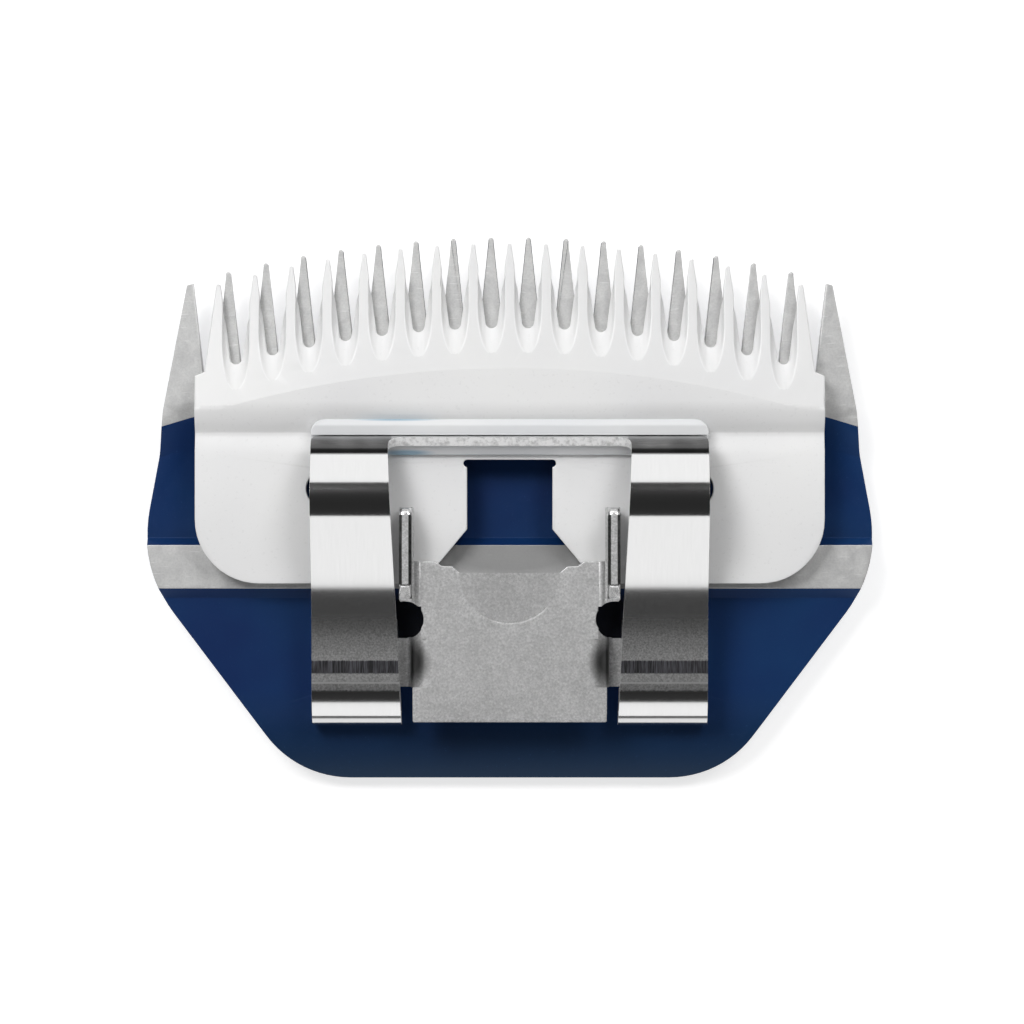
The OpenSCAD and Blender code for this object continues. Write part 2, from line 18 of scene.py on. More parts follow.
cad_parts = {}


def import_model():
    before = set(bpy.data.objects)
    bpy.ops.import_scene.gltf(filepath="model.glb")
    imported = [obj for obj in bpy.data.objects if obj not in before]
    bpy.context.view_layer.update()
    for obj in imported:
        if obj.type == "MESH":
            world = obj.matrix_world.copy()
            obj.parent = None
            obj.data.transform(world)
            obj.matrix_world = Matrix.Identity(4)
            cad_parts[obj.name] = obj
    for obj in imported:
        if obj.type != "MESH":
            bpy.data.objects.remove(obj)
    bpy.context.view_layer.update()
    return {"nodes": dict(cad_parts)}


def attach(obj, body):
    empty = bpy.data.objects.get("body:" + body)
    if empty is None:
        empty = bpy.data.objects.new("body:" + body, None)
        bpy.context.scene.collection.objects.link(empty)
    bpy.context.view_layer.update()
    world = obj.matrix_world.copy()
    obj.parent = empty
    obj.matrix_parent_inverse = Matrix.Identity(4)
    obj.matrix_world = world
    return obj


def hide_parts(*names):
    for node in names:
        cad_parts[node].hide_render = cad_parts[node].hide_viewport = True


LOG = logging.getLogger("blade_set")
MM = 0.001

# How meshes are made: angles in degrees, lengths in millimetres.
SHARP = 35.0  # least angle of an edge that is rounded
BREAK = 38.0  # least angle of an edge across which the shading breaks
LEVEL = 0.9999  # least upright part of the normal of a level face
WELD = 0.002  # vertices of a CAD node that are this near are one
SLIVER = 0.0005  # edges of a CAD node that are this short are dropped
CORNER_FACETS = 8
HOLE_FACETS = 48
BEND_FACET = 3.0  # turn of one facet of a bend


def mm(*lengths: float) -> Vector | float:
    """Turns millimetres to metres: one length to a number, several to a vector."""
    return lengths[0] * MM if len(lengths) == 1 else Vector(lengths) * MM


def linear(hex_colour: str) -> tuple[float, float, float, float]:
    """Turns an sRGB colour to the linear values that a shader takes.

    Args:
        hex_colour: Colour as ``#rrggbb``.

    Returns:
        Linear red, green, blue and an alpha of 1.
    """
    parts = [int(hex_colour[i : i + 2], 16) / 255 for i in (1, 3, 5)]
    made = [c / 12.92 if c <= 0.04045 else ((c + 0.055) / 1.055) ** 2.4 for c in parts]
    return made[0], made[1], made[2], 1.0


class Body(Enum):
    """The rigid bodies that pieces ride on."""

    COMB = "comb"
    CUTTER = "cutter"


class Slot(Enum):
    """The record's material slots."""

    COMB = "comb"
    CUTTER = "cutter"
    SPRING = "spring_steel"
    GUIDE = "guide_plastic"
    SOCKET = "socket_steel"
    SCREW = "screw_steel"


# ---------------------------------------------------------------- materials

Socket = bpy.types.NodeSocket
Pair = tuple[float, float]
Stops = Sequence[tuple[float, object]]
Add = Callable[..., Socket]
ABOVE_ALL = 20.0  # millimetres, higher than any piece


def feed(node: bpy.types.Node, inputs: dict[str | int, object]) -> None:
    """Sets the inputs of a node, or links them.

    Args:
        node: Node of a material or of the world.
        inputs: Input name or index to a value, a hex colour, or the output socket that feeds it.
    """
    for name, value in inputs.items():
        if isinstance(value, Socket):
            node.id_data.links.new(value, node.inputs[name])
        else:
            node.inputs[name].default_value = linear(value) if isinstance(value, str) else value


def add_node(
    tree: bpy.types.NodeTree,
    kind: str,
    inputs: dict[str | int, object] | None = None,
    out: str | int = 0,
    stops: Stops = (),
    **settings: object,
) -> Socket | None:
    """Adds one node to a tree, sets it up and links it.

    Args:
        tree: Node tree of a material or of the world.
        kind: Type of the node after ``ShaderNode``, such as ``TexNoise``.
        inputs: What its inputs are fed.
        out: Name or index of the output that is wanted.
        stops: Stops of a colour ramp: positions, each with a grey level or a hex colour.
        **settings: Attributes of the node.

    Returns:
        The wanted output socket, or nothing for a node that ends the tree.
    """
    node = tree.nodes.new(f"ShaderNode{kind}")
    for name, value in settings.items():
        setattr(node, name, value)
    feed(node, inputs or {})
    for _ in stops[2:]:
        node.color_ramp.elements.new(0.5)
    for element, (position, colour) in zip(node.color_ramp.elements if stops else (), stops):
        element.position = position
        element.color = linear(colour) if isinstance(colour, str) else (colour, colour, colour, 1.0)
    return node.outputs[out] if node.outputs else None


@dataclass(frozen=True)
class Finish:
    """A finish of a real material: its name and how it answers light."""

    name: str
    colour: str
    roughness: float
    metallic: float = 0.0

    def paint(self, add: Add, place: Socket) -> dict[str, object]:
        """Draws the pattern of the finish; a plain finish has none."""
        return {}

    def build(self) -> bpy.types.Material:
        """Makes the finish as a node material.

        Returns:
            The material, with its pattern on Object coordinates.
        """
        material = bpy.data.materials.new(self.name)
        material.use_nodes = True
        material.diffuse_color = linear(self.colour)
        add = partial(add_node, material.node_tree)
        shader = material.node_tree.nodes["Principled BSDF"]
        plain = {"Base Color": self.colour, "Roughness": self.roughness, "Metallic": self.metallic}
        feed(shader, plain)
        feed(shader, self.paint(add, add("TexCoord", out="Object")))
        return material

    def gloss(self, value: Socket, limits: Pair, spread: Pair) -> dict[str, object]:
        """Works out the range by which a pattern makes the surface duller or glossier.

        Args:
            value: Socket with the pattern.
            limits: Values of the pattern between which the roughness changes.
            spread: Change of the roughness at each of the limits.

        Returns:
            Inputs of the range, round the plain roughness of the finish.
        """
        low, high = (self.roughness + change for change in spread)
        ends = {"From Min": limits[0], "From Max": limits[1], "To Min": low, "To Max": high}
        return {"Value": value} | ends

    @staticmethod
    def between(add: Add, value: Socket, low: float, high: float, soft: float) -> Socket:
        """Gives 1 where a value lies between two limits, with soft edges.

        Args:
            add: Adds a node to the tree.
            value: Socket with the value, in metres.
            low: Lower limit in millimetres.
            high: Upper limit in millimetres.
            soft: Half the width of each soft edge in millimetres.

        Returns:
            Socket with the mask from 0 to 1.
        """
        ends = ((low - soft, low + soft), (high + soft, high - soft))
        rise, fall = (
            add("MapRange", {"Value": value, "From Min": mm(off), "From Max": mm(on)})
            for off, on in ends
        )
        return add("Math", {0: rise, 1: fall}, operation="MULTIPLY")

    @staticmethod
    def patch(add: Add, place: Socket, at: Pair, reach: Pair) -> Socket:
        """Gives an oval patch that fades from 1 in its middle to 0 at its rim.

        Args:
            add: Adds a node to the tree.
            place: Socket with the coordinates.
            at: X and Y of the middle in millimetres.
            reach: Half of its length along X and along Y in millimetres.

        Returns:
            Socket with the mask from 0 to 1.
        """
        size = Vector((mm(reach[0]), mm(reach[1]), 1))
        sizes = {"Vector": place, "Location": mm(*at, 0), "Scale": size}
        centred = add("Mapping", sizes, vector_type="TEXTURE")
        return add("TexGradient", {"Vector": centred}, "Fac", gradient_type="SPHERICAL")


@dataclass(frozen=True)
class BlueCoating(Finish):
    """Thin vapour coating over tool steel.

    It gives the eye a deep satin blue, with the steel's grain showing through.
    """

    name: str = "blue_coated_tool_steel"
    colour: str = "#0b2856"
    roughness: float = 0.42
    metallic: float = 0.2
    specular: float = 0.3
    cloud_mm: float = 9.0  # slow drift of the coating's thickness
    clouds: Stops = ((0.3, "#05275a"), (0.7, "#0b3667"))
    tail_mm: Pair = (-15.0, -22.0)
    tail: str = "#132f4c"
    grit_mm: float = 0.2  # the steel's grain is about 0.03; drawn coarser, or it would not show
    grit_depth_mm: float = 0.004
    specks: Stops = ((0.64, 0.0), (0.78, 0.3))
    speck: str = "#33588c"
    # painted shade: a near-black patch on the comb's upper face under each notch of the socket,
    # where the notch lies in shade
    oil_at: Pair = (8.4, -9.2)
    oil_reach: Pair = (2.6, 2.6)
    oil_edge: Stops = ((0.05, 0.0), (0.35, 0.92))
    oil: str = "#0b0b0c"
    skin_side: float = 0.5

    def paint(self, add: Add, place: Socket) -> dict[str, object]:
        """Adds slow clouds, a greyer tail, fine grit, and painted shade, near black, on the comb
        under each notch of the socket.

        Args:
            add: Adds a node to the tree.
            place: Socket with the coordinates.

        Returns:
            What the shader's inputs are fed.
        """
        clouds = add("TexNoise", {"Vector": place, "Scale": 1 / mm(self.cloud_mm), "Detail": 2.0})
        size = {"Scale": 1 / mm(self.grit_mm), "Detail": 2.0, "Roughness": 0.7}
        grit = add("TexNoise", {"Vector": place} | size)
        across, along, height = (add("SeparateXYZ", {0: place}, axis) for axis in "XYZ")
        start, end = self.tail_mm
        tail = add("MapRange", {"Value": along, "From Min": mm(start), "From Max": mm(end)})
        side = add("Math", {0: across}, operation="ABSOLUTE")
        folded = add("CombineXYZ", {"X": side, "Y": along})
        # painted shade, near black, under each notch of the socket, only on the upper face
        pool = self.patch(add, folded, self.oil_at, self.oil_reach)
        on_top = self.between(add, height, self.skin_side, ABOVE_ALL, 0.1)
        pool = add("Math", {0: pool, 1: on_top}, operation="MULTIPLY")
        oil = add("ValToRGB", {0: pool}, stops=self.oil_edge)
        specks = add("ValToRGB", {0: grit}, stops=self.specks)
        tone = add("ValToRGB", {0: clouds}, stops=self.clouds)
        for mask, colour in ((tail, self.tail), (oil, self.oil), (specks, self.speck)):
            tone = add("Mix", {0: mask, 6: tone, 7: colour}, 2, data_type="RGBA")
        relief = {"Height": grit, "Distance": mm(self.grit_depth_mm), "Strength": 0.5}
        return {
            "Base Color": tone,
            "Roughness": add("MapRange", self.gloss(grit, (0.3, 0.7), (-0.05, 0.09))),
            "Specular IOR Level": self.specular,
            "Normal": add("Bump", relief),
        }


@dataclass(frozen=True)
class GroundSteel(Finish):
    """Hardened tool steel, ground bare.

    It gives the eye a pale matt grey, mottled, with short stray scratches.
    """

    name: str = "ground_tool_steel"
    colour: str = "#d2d2d2"
    roughness: float = 0.6
    metallic: float = 1.0
    mottle_mm: float = 1.1  # stains that the coolant of the grinding left
    mottle: Stops = ((0.3, "#cacaca"), (0.7, "#dddddc"))
    grit_mm: float = 0.16  # the wheel's grit is about 0.05; drawn coarser, or it would not show
    grit_depth_mm: float = 0.006
    speckle: Stops = ((0.3, 0.92), (0.62, 1.0))
    scratch_mm: float = 0.16  # real scratches are 0.02 wide; drawn coarser likewise
    scratch_turn: float = 0.5
    scratch_share: float = 0.12  # width of a scratch as a share of its length
    scratches: Stops = ((0.66, 0.0), (0.78, 0.3))
    scratch: str = "#fafafa"
    # painted shade: a grey patch on the rail between the socket and the cutter, where they shade it
    oil_at: Pair = (0.0, -3.6)
    oil_reach: Pair = (9.5, 3.0)
    oil_edge: Stops = ((0.1, 0.0), (0.5, 0.7))
    oil: str = "#949494"

    def paint(self, add: Add, place: Socket) -> dict[str, object]:
        """Adds mottling, grit, scratches a little askew to the teeth, and painted shade on the rail
        between the socket and the cutter.

        Args:
            add: Adds a node to the tree.
            place: Socket with the coordinates.

        Returns:
            What the shader's inputs are fed.
        """
        size = {"Scale": 1 / mm(self.mottle_mm), "Detail": 5.0, "Roughness": 0.62}
        mottle = add("TexNoise", {"Vector": place, "Distortion": 0.5} | size)
        size = {"Scale": 1 / mm(self.grit_mm), "Detail": 1.0, "Roughness": 0.7}
        grit = add("TexNoise", {"Vector": place} | size)
        turn, stretch = (0.0, 0.0, self.scratch_turn), (self.scratch_share, 1.0, 1.0)
        drawn = add("Mapping", {"Vector": place, "Rotation": turn, "Scale": stretch})
        marks = add("TexNoise", {"Vector": drawn, "Scale": 1 / mm(self.scratch_mm), "Detail": 1.0})
        scratches = add("ValToRGB", {0: marks}, stops=self.scratches)
        speckle = add("ValToRGB", {0: grit}, stops=self.speckle)
        # painted shade on the rail between the socket and the cutter
        pool = self.patch(add, place, self.oil_at, self.oil_reach)
        oil = add("ValToRGB", {0: pool}, stops=self.oil_edge)
        tone = add("ValToRGB", {0: mottle}, stops=self.mottle)
        shaded = {0: 1.0, 6: tone, 7: speckle}
        tone = add("Mix", shaded, 2, data_type="RGBA", blend_type="MULTIPLY")
        for mask, colour in ((scratches, self.scratch), (oil, self.oil)):
            tone = add("Mix", {0: mask, 6: tone, 7: colour}, 2, data_type="RGBA")
        relief = {"Height": grit, "Distance": mm(self.grit_depth_mm), "Strength": 0.5}
        return {
            "Base Color": tone,
            "Roughness": add("MapRange", self.gloss(mottle, (0.3, 0.7), (-0.06, 0.08))),
            "Normal": add("Bump", relief),
        }


@dataclass(frozen=True)
class Zirconia(Finish):
    """White zirconia ceramic, moulded and fired.

    It gives the eye a dense, even white with a soft gloss, duller where it is ground.
    """

    name: str = "moulded_zirconia"
    colour: str = "#eeeeef"
    roughness: float = 0.28
    bright: str = "#f4f4f3"
    cloud_mm: float = 7.0  # slow change in the white of the fired powder
    grain_mm: float = 0.3  # the fired grain is below 0.001; drawn coarser, or it would not show
    refraction: float = 1.6
    specular: float = 0.36
    glow: float = 0.35
    depth_mm: float = 0.8

    def paint(self, add: Add, place: Socket) -> dict[str, object]:
        """Adds a hardly visible cloud in the white, and the grain of fired powder in its gloss.

        Args:
            add: Adds a node to the tree.
            place: Socket with the coordinates.

        Returns:
            What the shader's inputs are fed.
        """
        clouds = add("TexNoise", {"Vector": place, "Scale": 1 / mm(self.cloud_mm), "Detail": 1.0})
        grain = add("TexNoise", {"Vector": place, "Scale": 1 / mm(self.grain_mm), "Detail": 2.0})
        stops = ((0.0, self.colour), (1.0, self.bright))
        return {
            "Base Color": add("ValToRGB", {0: clouds}, stops=stops),
            "Roughness": add("MapRange", self.gloss(grain, (0.0, 1.0), (-0.04, 0.06))),
            "IOR": self.refraction,
            "Specular IOR Level": self.specular,
            "Subsurface Weight": self.glow,
            "Subsurface Radius": (1.0, 1.0, 1.0),
            "Subsurface Scale": mm(self.depth_mm),
        }


@dataclass(frozen=True)
class SpringSteel(Finish):
    """Rolled spring steel, polished bright.

    It gives the eye a mirror, rubbed grey and grainy where the clipper sits on it, with a painted
    highlight line and a painted dark reflection at the front bend.
    """

    name: str = "bright_spring_steel"
    colour: str = "#d6d6d6"
    roughness: float = 0.13
    metallic: float = 1.0
    worn_roughness: float = 0.38
    line_mm: float = 0.09  # rolling lines are 0.01 apart; drawn coarser, or they would not show
    line_share: float = 0.05  # spacing of the lines as a share of their length
    lines: Stops = ((0.3, "#cdcdcd"), (0.7, "#d0d0d0"))
    grain_mm: float = 0.16  # rubbing leaves pits of about 0.03; drawn coarser for the same reason
    grain_depth_mm: float = 0.006
    speckle: Stops = ((0.3, "#a2a2a2"), (0.7, "#e2e2e2"))
    worn_mm: Pair = (-15.1, -7.2)
    worn_edge_mm: float = 0.2
    stripe_mm: Pair = (-13.66, -12.6)
    stripe_edge_mm: float = 0.16
    rubbed: Stops = ((0.38, "#474748"), (0.66, "#83838a"))
    # painted highlight: a thin light line across each arm
    ridge_mm: Pair = (-14.5, -14.36)
    ridge: str = "#f2f2f2"
    # painted reflection: a dark wavy band across the front bend, outside the bar
    grease_mm: Pair = (4.45, 6.0)
    grease: Stops = ((0.0, "#3c3c3c"), (0.45, "#595959"), (1.0, "#a0a0a0"))
    wave_mm: float = 2.4  # slow waves in the edge of the painted reflection
    wave_reach_mm: float = 0.9
    wave_middle_mm: float = 0.52
    ragged_mm: float = 0.15
    bar_mm: float = 9.75
    leaf_top: float = 4.6

    def paint(self, add: Add, place: Socket) -> dict[str, object]:
        """Adds rolling lines, the worn seat with its dark stripe, a painted highlight line, and a
        painted dark reflection at the front bend.

        Args:
            add: Adds a node to the tree.
            place: Socket with the coordinates.

        Returns:
            What the shader's inputs are fed.
        """
        across, along, height = (add("SeparateXYZ", {0: place}, axis) for axis in "XYZ")
        share = self.line_share
        drawn = add("Mapping", {"Vector": place, "Scale": (1.0, share, share)})
        size = {"Scale": 1 / mm(self.line_mm), "Detail": 2.0, "Roughness": 0.6}
        lines = add("TexNoise", {"Vector": drawn} | size)
        size = {"Scale": 1 / mm(self.grain_mm), "Detail": 2.0, "Roughness": 0.75}
        grain = add("TexNoise", {"Vector": place} | size)
        above = self.between(add, height, self.leaf_top, ABOVE_ALL, 0.1)

        edge = {0: grain, 1: mm(self.worn_edge_mm), 2: along}
        low, high = self.worn_mm
        rough_edge = add("Math", edge, operation="MULTIPLY_ADD")
        seat = self.between(add, rough_edge, low + 0.1, high + 3.0, 0.12)
        fade = {"Value": along, "From Min": mm(high + 0.3), "From Max": mm(high - 3.5)}
        seat = add("Math", {0: seat, 1: add("MapRange", fade)}, operation="MULTIPLY")
        edge = {0: lines, 1: mm(self.stripe_edge_mm), 2: along}
        ragged = add("Math", edge, operation="MULTIPLY_ADD")
        low, high = (end + self.stripe_edge_mm / 2 for end in self.stripe_mm)
        stripe = self.between(add, ragged, low, high, 0.05)
        # painted highlight line across each arm, also made rougher
        ridge = self.between(add, along, *self.ridge_mm, 0.05)
        seat, stripe, ridge = (
            add("Math", {0: mask, 1: above}, operation="MULTIPLY") for mask in (seat, stripe, ridge)
        )

        # painted dark reflection at the front bend
        film, greasy = self.grease_film(add, (place, across, along, grain))
        coats = (
            (seat, add("ValToRGB", {0: grain}, stops=self.speckle)),
            (stripe, add("ValToRGB", {0: lines}, stops=self.rubbed)),
            (ridge, self.ridge),
            (greasy, film),
        )
        tone = add("ValToRGB", {0: lines}, stops=self.lines)
        for mask, colour in coats:
            tone = add("Mix", {0: mask, 6: tone, 7: colour}, 2, data_type="RGBA")
        worn = add("Math", {0: seat, 1: ridge}, operation="MAXIMUM")
        worn = add("Math", {0: worn, 1: stripe}, operation="MAXIMUM")
        relief = {"Height": grain, "Distance": mm(self.grain_depth_mm), "Strength": seat}
        duller = self.worn_roughness - self.roughness
        return {
            "Base Color": tone,
            "Roughness": add("MapRange", self.gloss(worn, (0.0, 1.0), (0.0, duller))),
            "Normal": add("Bump", relief),
        }

    def grease_film(self, add: Add, pattern: tuple[Socket, ...]) -> tuple[Socket, Socket]:
        """Draws a painted dark reflection at the front bend, outside the bar that lies between the
        arms.

        Args:
            add: Adds a node to the tree.
            pattern: Sockets with the coordinates, X, Y and the grain.

        Returns:
            Sockets with the colour of the painted reflection and with the mask of where it lies.
        """
        place, across, along, grain = pattern
        wide = add("Mapping", {"Vector": place, "Scale": (1.0, 0.4, 0.4)})
        waves = add("TexNoise", {"Vector": wide, "Scale": 1 / mm(self.wave_mm), "Detail": 1.0})
        wavy = along
        for noise, reach in ((waves, self.wave_reach_mm), (grain, self.ragged_mm)):
            wavy = add("Math", {0: noise, 1: mm(reach), 2: wavy}, operation="MULTIPLY_ADD")
        start, end = (limit + self.wave_middle_mm for limit in self.grease_mm)
        depth = add("MapRange", {"Value": wavy, "From Min": mm(start), "From Max": mm(end)})
        film = add("ValToRGB", {0: depth}, stops=self.grease)
        side = add("Math", {0: across}, operation="ABSOLUTE")
        off_bar = self.between(add, side, self.bar_mm, 30.0, 0.05)
        at_bend = self.between(add, along, self.grease_mm[0], 9.0, 0.12)
        return film, add("Math", {0: at_bend, 1: off_bar}, operation="MULTIPLY")


@dataclass(frozen=True)
class ShearedEdge(Finish):
    """Edge of steel sheet, sheared and then tumbled.

    It gives the eye a pale band, torn into short facets that scatter the light.
    """

    name: str = "sheared_steel_edge"
    colour: str = "#fafafa"
    roughness: float = 0.5
    metallic: float = 0.2
    torn: str = "#c4c4c4"
    facet_mm: float = 0.5  # real facets are 0.1 to 0.3; drawn coarser, or they would not show
    depth_mm: float = 0.01

    def paint(self, add: Add, place: Socket) -> dict[str, object]:
        """Adds the torn facets, light and dark.

        Args:
            add: Adds a node to the tree.
            place: Socket with the coordinates.

        Returns:
            What the shader's inputs are fed.
        """
        size = {"Scale": 1 / mm(self.facet_mm), "Detail": 3.0, "Roughness": 0.6}
        facets = add("TexNoise", {"Vector": place} | size)
        relief = {"Height": facets, "Distance": mm(self.depth_mm), "Strength": 0.8}
        stops = ((0.3, self.torn), (0.55, self.colour))
        return {
            "Base Color": add("ValToRGB", {0: facets}, stops=stops),
            "Roughness": add("MapRange", self.gloss(facets, (0.35, 0.65), (0.06, -0.04))),
            "Normal": add("Bump", relief),
        }


@dataclass(frozen=True)
class ClearNylon(Finish):
    """Nylon, moulded in its natural colour.

    It gives the eye a milky, translucent strip, with two painted cool blue glints.
    """

    name: str = "natural_plastic"
    colour: str = "#f2f3f5"
    roughness: float = 0.22
    clear: float = 0.12
    refraction: float = 1.5
    streak_mm: float = 5.0  # flow marks of the moulding
    streaks: Stops = ((0.35, "#eef0f3"), (0.65, "#f7f8f9"))
    # painted highlight: two cool blue glints on the left part of the strip
    tint: str = "#7fb0cc"
    tint_edge: Stops = ((0.0, 0.0), (0.6, 0.75))
    tint_at: tuple[Pair, ...] = ((-9.4, 7.4), (-8.6, 4.55))
    tint_reach: tuple[Pair, ...] = ((4.2, 0.28), (2.6, 0.32))

    def paint(self, add: Add, place: Socket) -> dict[str, object]:
        """Adds flow streaks, two painted cool blue glints, and lets light in.

        Args:
            add: Adds a node to the tree.
            place: Socket with the coordinates.

        Returns:
            What the shader's inputs are fed.
        """
        drawn = add("Mapping", {"Vector": place, "Scale": (0.25, 1.0, 1.0)})
        streaks = add("TexNoise", {"Vector": drawn, "Scale": 1 / mm(self.streak_mm), "Detail": 2.0})
        tone = add("ValToRGB", {0: streaks}, stops=self.streaks)
        # two painted blue glints
        for at, reach in zip(self.tint_at, self.tint_reach):
            glow = self.patch(add, place, at, reach)
            glint = add("ValToRGB", {0: glow}, stops=self.tint_edge)
            tone = add("Mix", {0: glint, 6: tone, 7: self.tint}, 2, data_type="RGBA")
        return {"Base Color": tone, "Transmission Weight": self.clear, "IOR": self.refraction}


@dataclass(frozen=True)
class BlastedSheet(Finish):
    """Steel sheet, stamped and tumbled in grit.

    It gives the eye a dull grey with a fine crystal grain that glints.
    """

    name: str = "blasted_steel_sheet"
    colour: str = "#c4c4c4"
    roughness: float = 0.55
    metallic: float = 1.0
    grain_mm: float = 0.2  # pits of the grit are about 0.05; drawn coarser, or they would not show
    crystal_mm: float = 0.7  # the steel's crystals are about 0.2; drawn coarser for the same reason
    grain_share: float = 0.62
    grain_depth_mm: float = 0.01
    crystals: Stops = ((0.36, "#bababa"), (0.5, "#d0d0d0"), (0.64, "#ececec"))
    patch_mm: float = 3.0  # patches worn by handling
    patches: Stops = ((0.3, 0.9), (0.7, 1.0))
    # painted shade: a dark patch on both walls' bends, which are also smoother there
    drawn_at: Pair = (8.22, -12.7)
    drawn_reach: Pair = (1.9, 2.3)
    drawn: str = "#6a6a6a"
    drawn_roughness: float = 0.3

    def paint(self, add: Add, place: Socket) -> dict[str, object]:
        """Adds the grain, worn patches, and painted shade, smoother, on both walls' bends.

        Args:
            add: Adds a node to the tree.
            place: Socket with the coordinates.

        Returns:
            What the shader's inputs are fed.
        """
        across, along = (add("SeparateXYZ", {0: place}, axis) for axis in "XY")
        side = add("Math", {0: across}, operation="ABSOLUTE")
        folded = add("CombineXYZ", {"X": side, "Y": along})
        # painted shade on both walls' bends, with lower roughness there
        mark = self.patch(add, folded, self.drawn_at, self.drawn_reach)
        drawn = add("MapRange", {"Value": mark, "From Min": 0.03, "From Max": 0.6})
        on_wall = self.between(add, side, 0.0, self.drawn_at[0], 0.03)
        drawn = add("Math", {0: drawn, 1: on_wall}, operation="MULTIPLY")
        rugged = {"Vector": place, "Roughness": 0.75}
        grain, crystals = (
            add("TexNoise", rugged | {"Scale": 1 / mm(width), "Detail": detail})
            for width, detail in ((self.grain_mm, 2.0), (self.crystal_mm, 5.0))
        )
        size = {"Scale": 1 / mm(self.patch_mm), "Detail": 3.0}
        patches = add("TexNoise", {"Vector": place} | size)
        both = add("Mix", {0: self.grain_share, 2: crystals, 3: grain}, 0, data_type="FLOAT")
        tone = add("ValToRGB", {0: both}, stops=self.crystals)
        shaded = {0: 1.0, 6: tone, 7: add("ValToRGB", {0: patches}, stops=self.patches)}
        tone = add("Mix", shaded, 2, data_type="RGBA", blend_type="MULTIPLY")
        gloss = add("MapRange", self.gloss(both, (0.36, 0.66), (0.05, -0.06)))
        smoothed = {0: drawn, 2: gloss, 3: self.drawn_roughness}
        relief = {"Height": both, "Distance": mm(self.grain_depth_mm), "Strength": 0.6}
        return {
            # the painted shade of the bends goes over the grain here
            "Base Color": add("Mix", {0: drawn, 6: tone, 7: self.drawn}, 2, data_type="RGBA"),
            "Roughness": add("Mix", smoothed, 0, data_type="FLOAT"),
            "Normal": add("Bump", relief),
        }


@dataclass(frozen=True)
class TurnedSteel(Finish):
    """Screw steel, turned and left with a trace of oil.

    It gives the eye a grey darker than the sheet's, with the rings of the lathe.
    """

    name: str = "turned_screw_steel"
    colour: str = "#8a8a8c"
    roughness: float = 0.36
    metallic: float = 1.0
    ring_mm: float = 0.12  # the lathe's feed is 0.05 a turn; drawn coarser, or it would not show
    ring_depth_mm: float = 0.004
    oil_mm: float = 0.9  # blotches of the oil
    oil: Stops = ((0.35, "#6f6f70"), (0.65, "#a3a3a5"))

    def paint(self, add: Add, place: Socket) -> dict[str, object]:
        """Adds fine marks of the turning tool and thin dark oil.

        Args:
            add: Adds a node to the tree.
            place: Socket with the coordinates.

        Returns:
            What the shader's inputs are fed.
        """
        drawn = add("Mapping", {"Vector": place, "Scale": (0.2, 0.2, 1.0)})
        rings = add("TexNoise", {"Vector": drawn, "Scale": 1 / mm(self.ring_mm), "Detail": 2.0})
        oil = add("TexNoise", {"Vector": place, "Scale": 1 / mm(self.oil_mm), "Detail": 2.0})
        relief = {"Height": rings, "Distance": mm(self.ring_depth_mm), "Strength": 0.6}
        tone = add("ValToRGB", {0: oil}, stops=self.oil)
        return {"Base Color": tone, "Normal": add("Bump", relief)}


# ---------------------------------------------------------------- making pieces

EdgeTest = Callable[[bmesh.types.BMEdge], bool]


def piece_from(
    bm: bmesh.types.BMesh, name: str, body: Body, finishes: Iterable[bpy.types.Material]
) -> bpy.types.Object:
    """Makes a finished piece of a bmesh, and hands it to its body.

    Args:
        bm: Mesh in the frame of the part; it is freed.
        name: Name of the piece.
        body: Body that the piece rides on.
        finishes: Materials, by the material index of the faces.

    Returns:
        The piece, at the origin.
    """
    for face in bm.faces:
        face.smooth = True
    mesh = bpy.data.meshes.new(name)
    bm.to_mesh(mesh)
    bm.free()
    for finish in finishes:
        mesh.materials.append(finish)
    piece = bpy.data.objects.new(name, mesh)
    bpy.context.scene.collection.objects.link(piece)
    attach(piece, body.value)
    return piece


def rounded_edges(piece: bpy.types.Object, width_mm: float) -> None:
    """Rounds the sharp edges of a piece with a live bevel.

    Args:
        piece: Piece to finish.
        width_mm: Width of the rounding in millimetres.
    """
    bevel = piece.modifiers.new("edges", "BEVEL")
    bevel.width = mm(width_mm)
    bevel.segments = 3
    bevel.limit_method = "ANGLE"
    bevel.angle_limit = math.radians(SHARP)
    bevel.use_clamp_overlap = True


def evened(piece: bpy.types.Object) -> None:
    """Lets the large faces set the shading, so that flats stay flat up to their rounded edges.

    Args:
        piece: Piece to finish.
    """
    normals = piece.modifiers.new("shading", "WEIGHTED_NORMAL")
    normals.mode = "FACE_AREA"
    normals.weight = 50
    normals.keep_sharp = True


def walled(piece: bpy.types.Object, thickness_mm: float, rim: int) -> None:
    """Gives the middle surface of a piece the thickness of its sheet.

    Args:
        piece: Piece whose mesh is the middle of the sheet.
        thickness_mm: Thickness of the sheet in millimetres.
        rim: Index of the finish that the sheet's edges take.
    """
    wall = piece.modifiers.new("sheet", "SOLIDIFY")
    wall.thickness = mm(thickness_mm)
    wall.offset = 0.0
    wall.use_even_offset = True
    wall.material_offset_rim = rim


def blank(corners: Sequence[tuple[float, float, float]]) -> bmesh.types.BMesh:
    """Stamps a flat blank with rounded corners.

    Args:
        corners: X, Y and radius of each corner in millimetres, in order.

    Returns:
        The blank as one face in the XY plane.
    """
    bm = bmesh.new()
    rim = [bm.verts.new(mm(x, y, 0)) for x, y, _ in corners]
    bm.faces.new(rim)
    for vert, (_, _, radius) in zip(rim, corners):
        if radius:
            bmesh.ops.bevel(
                bm,
                geom=[vert],
                offset=mm(radius),
                offset_type="OFFSET",
                segments=CORNER_FACETS,
                profile=0.5,
                affect="VERTICES",
                clamp_overlap=False,
                material=-1,
            )
    return bm


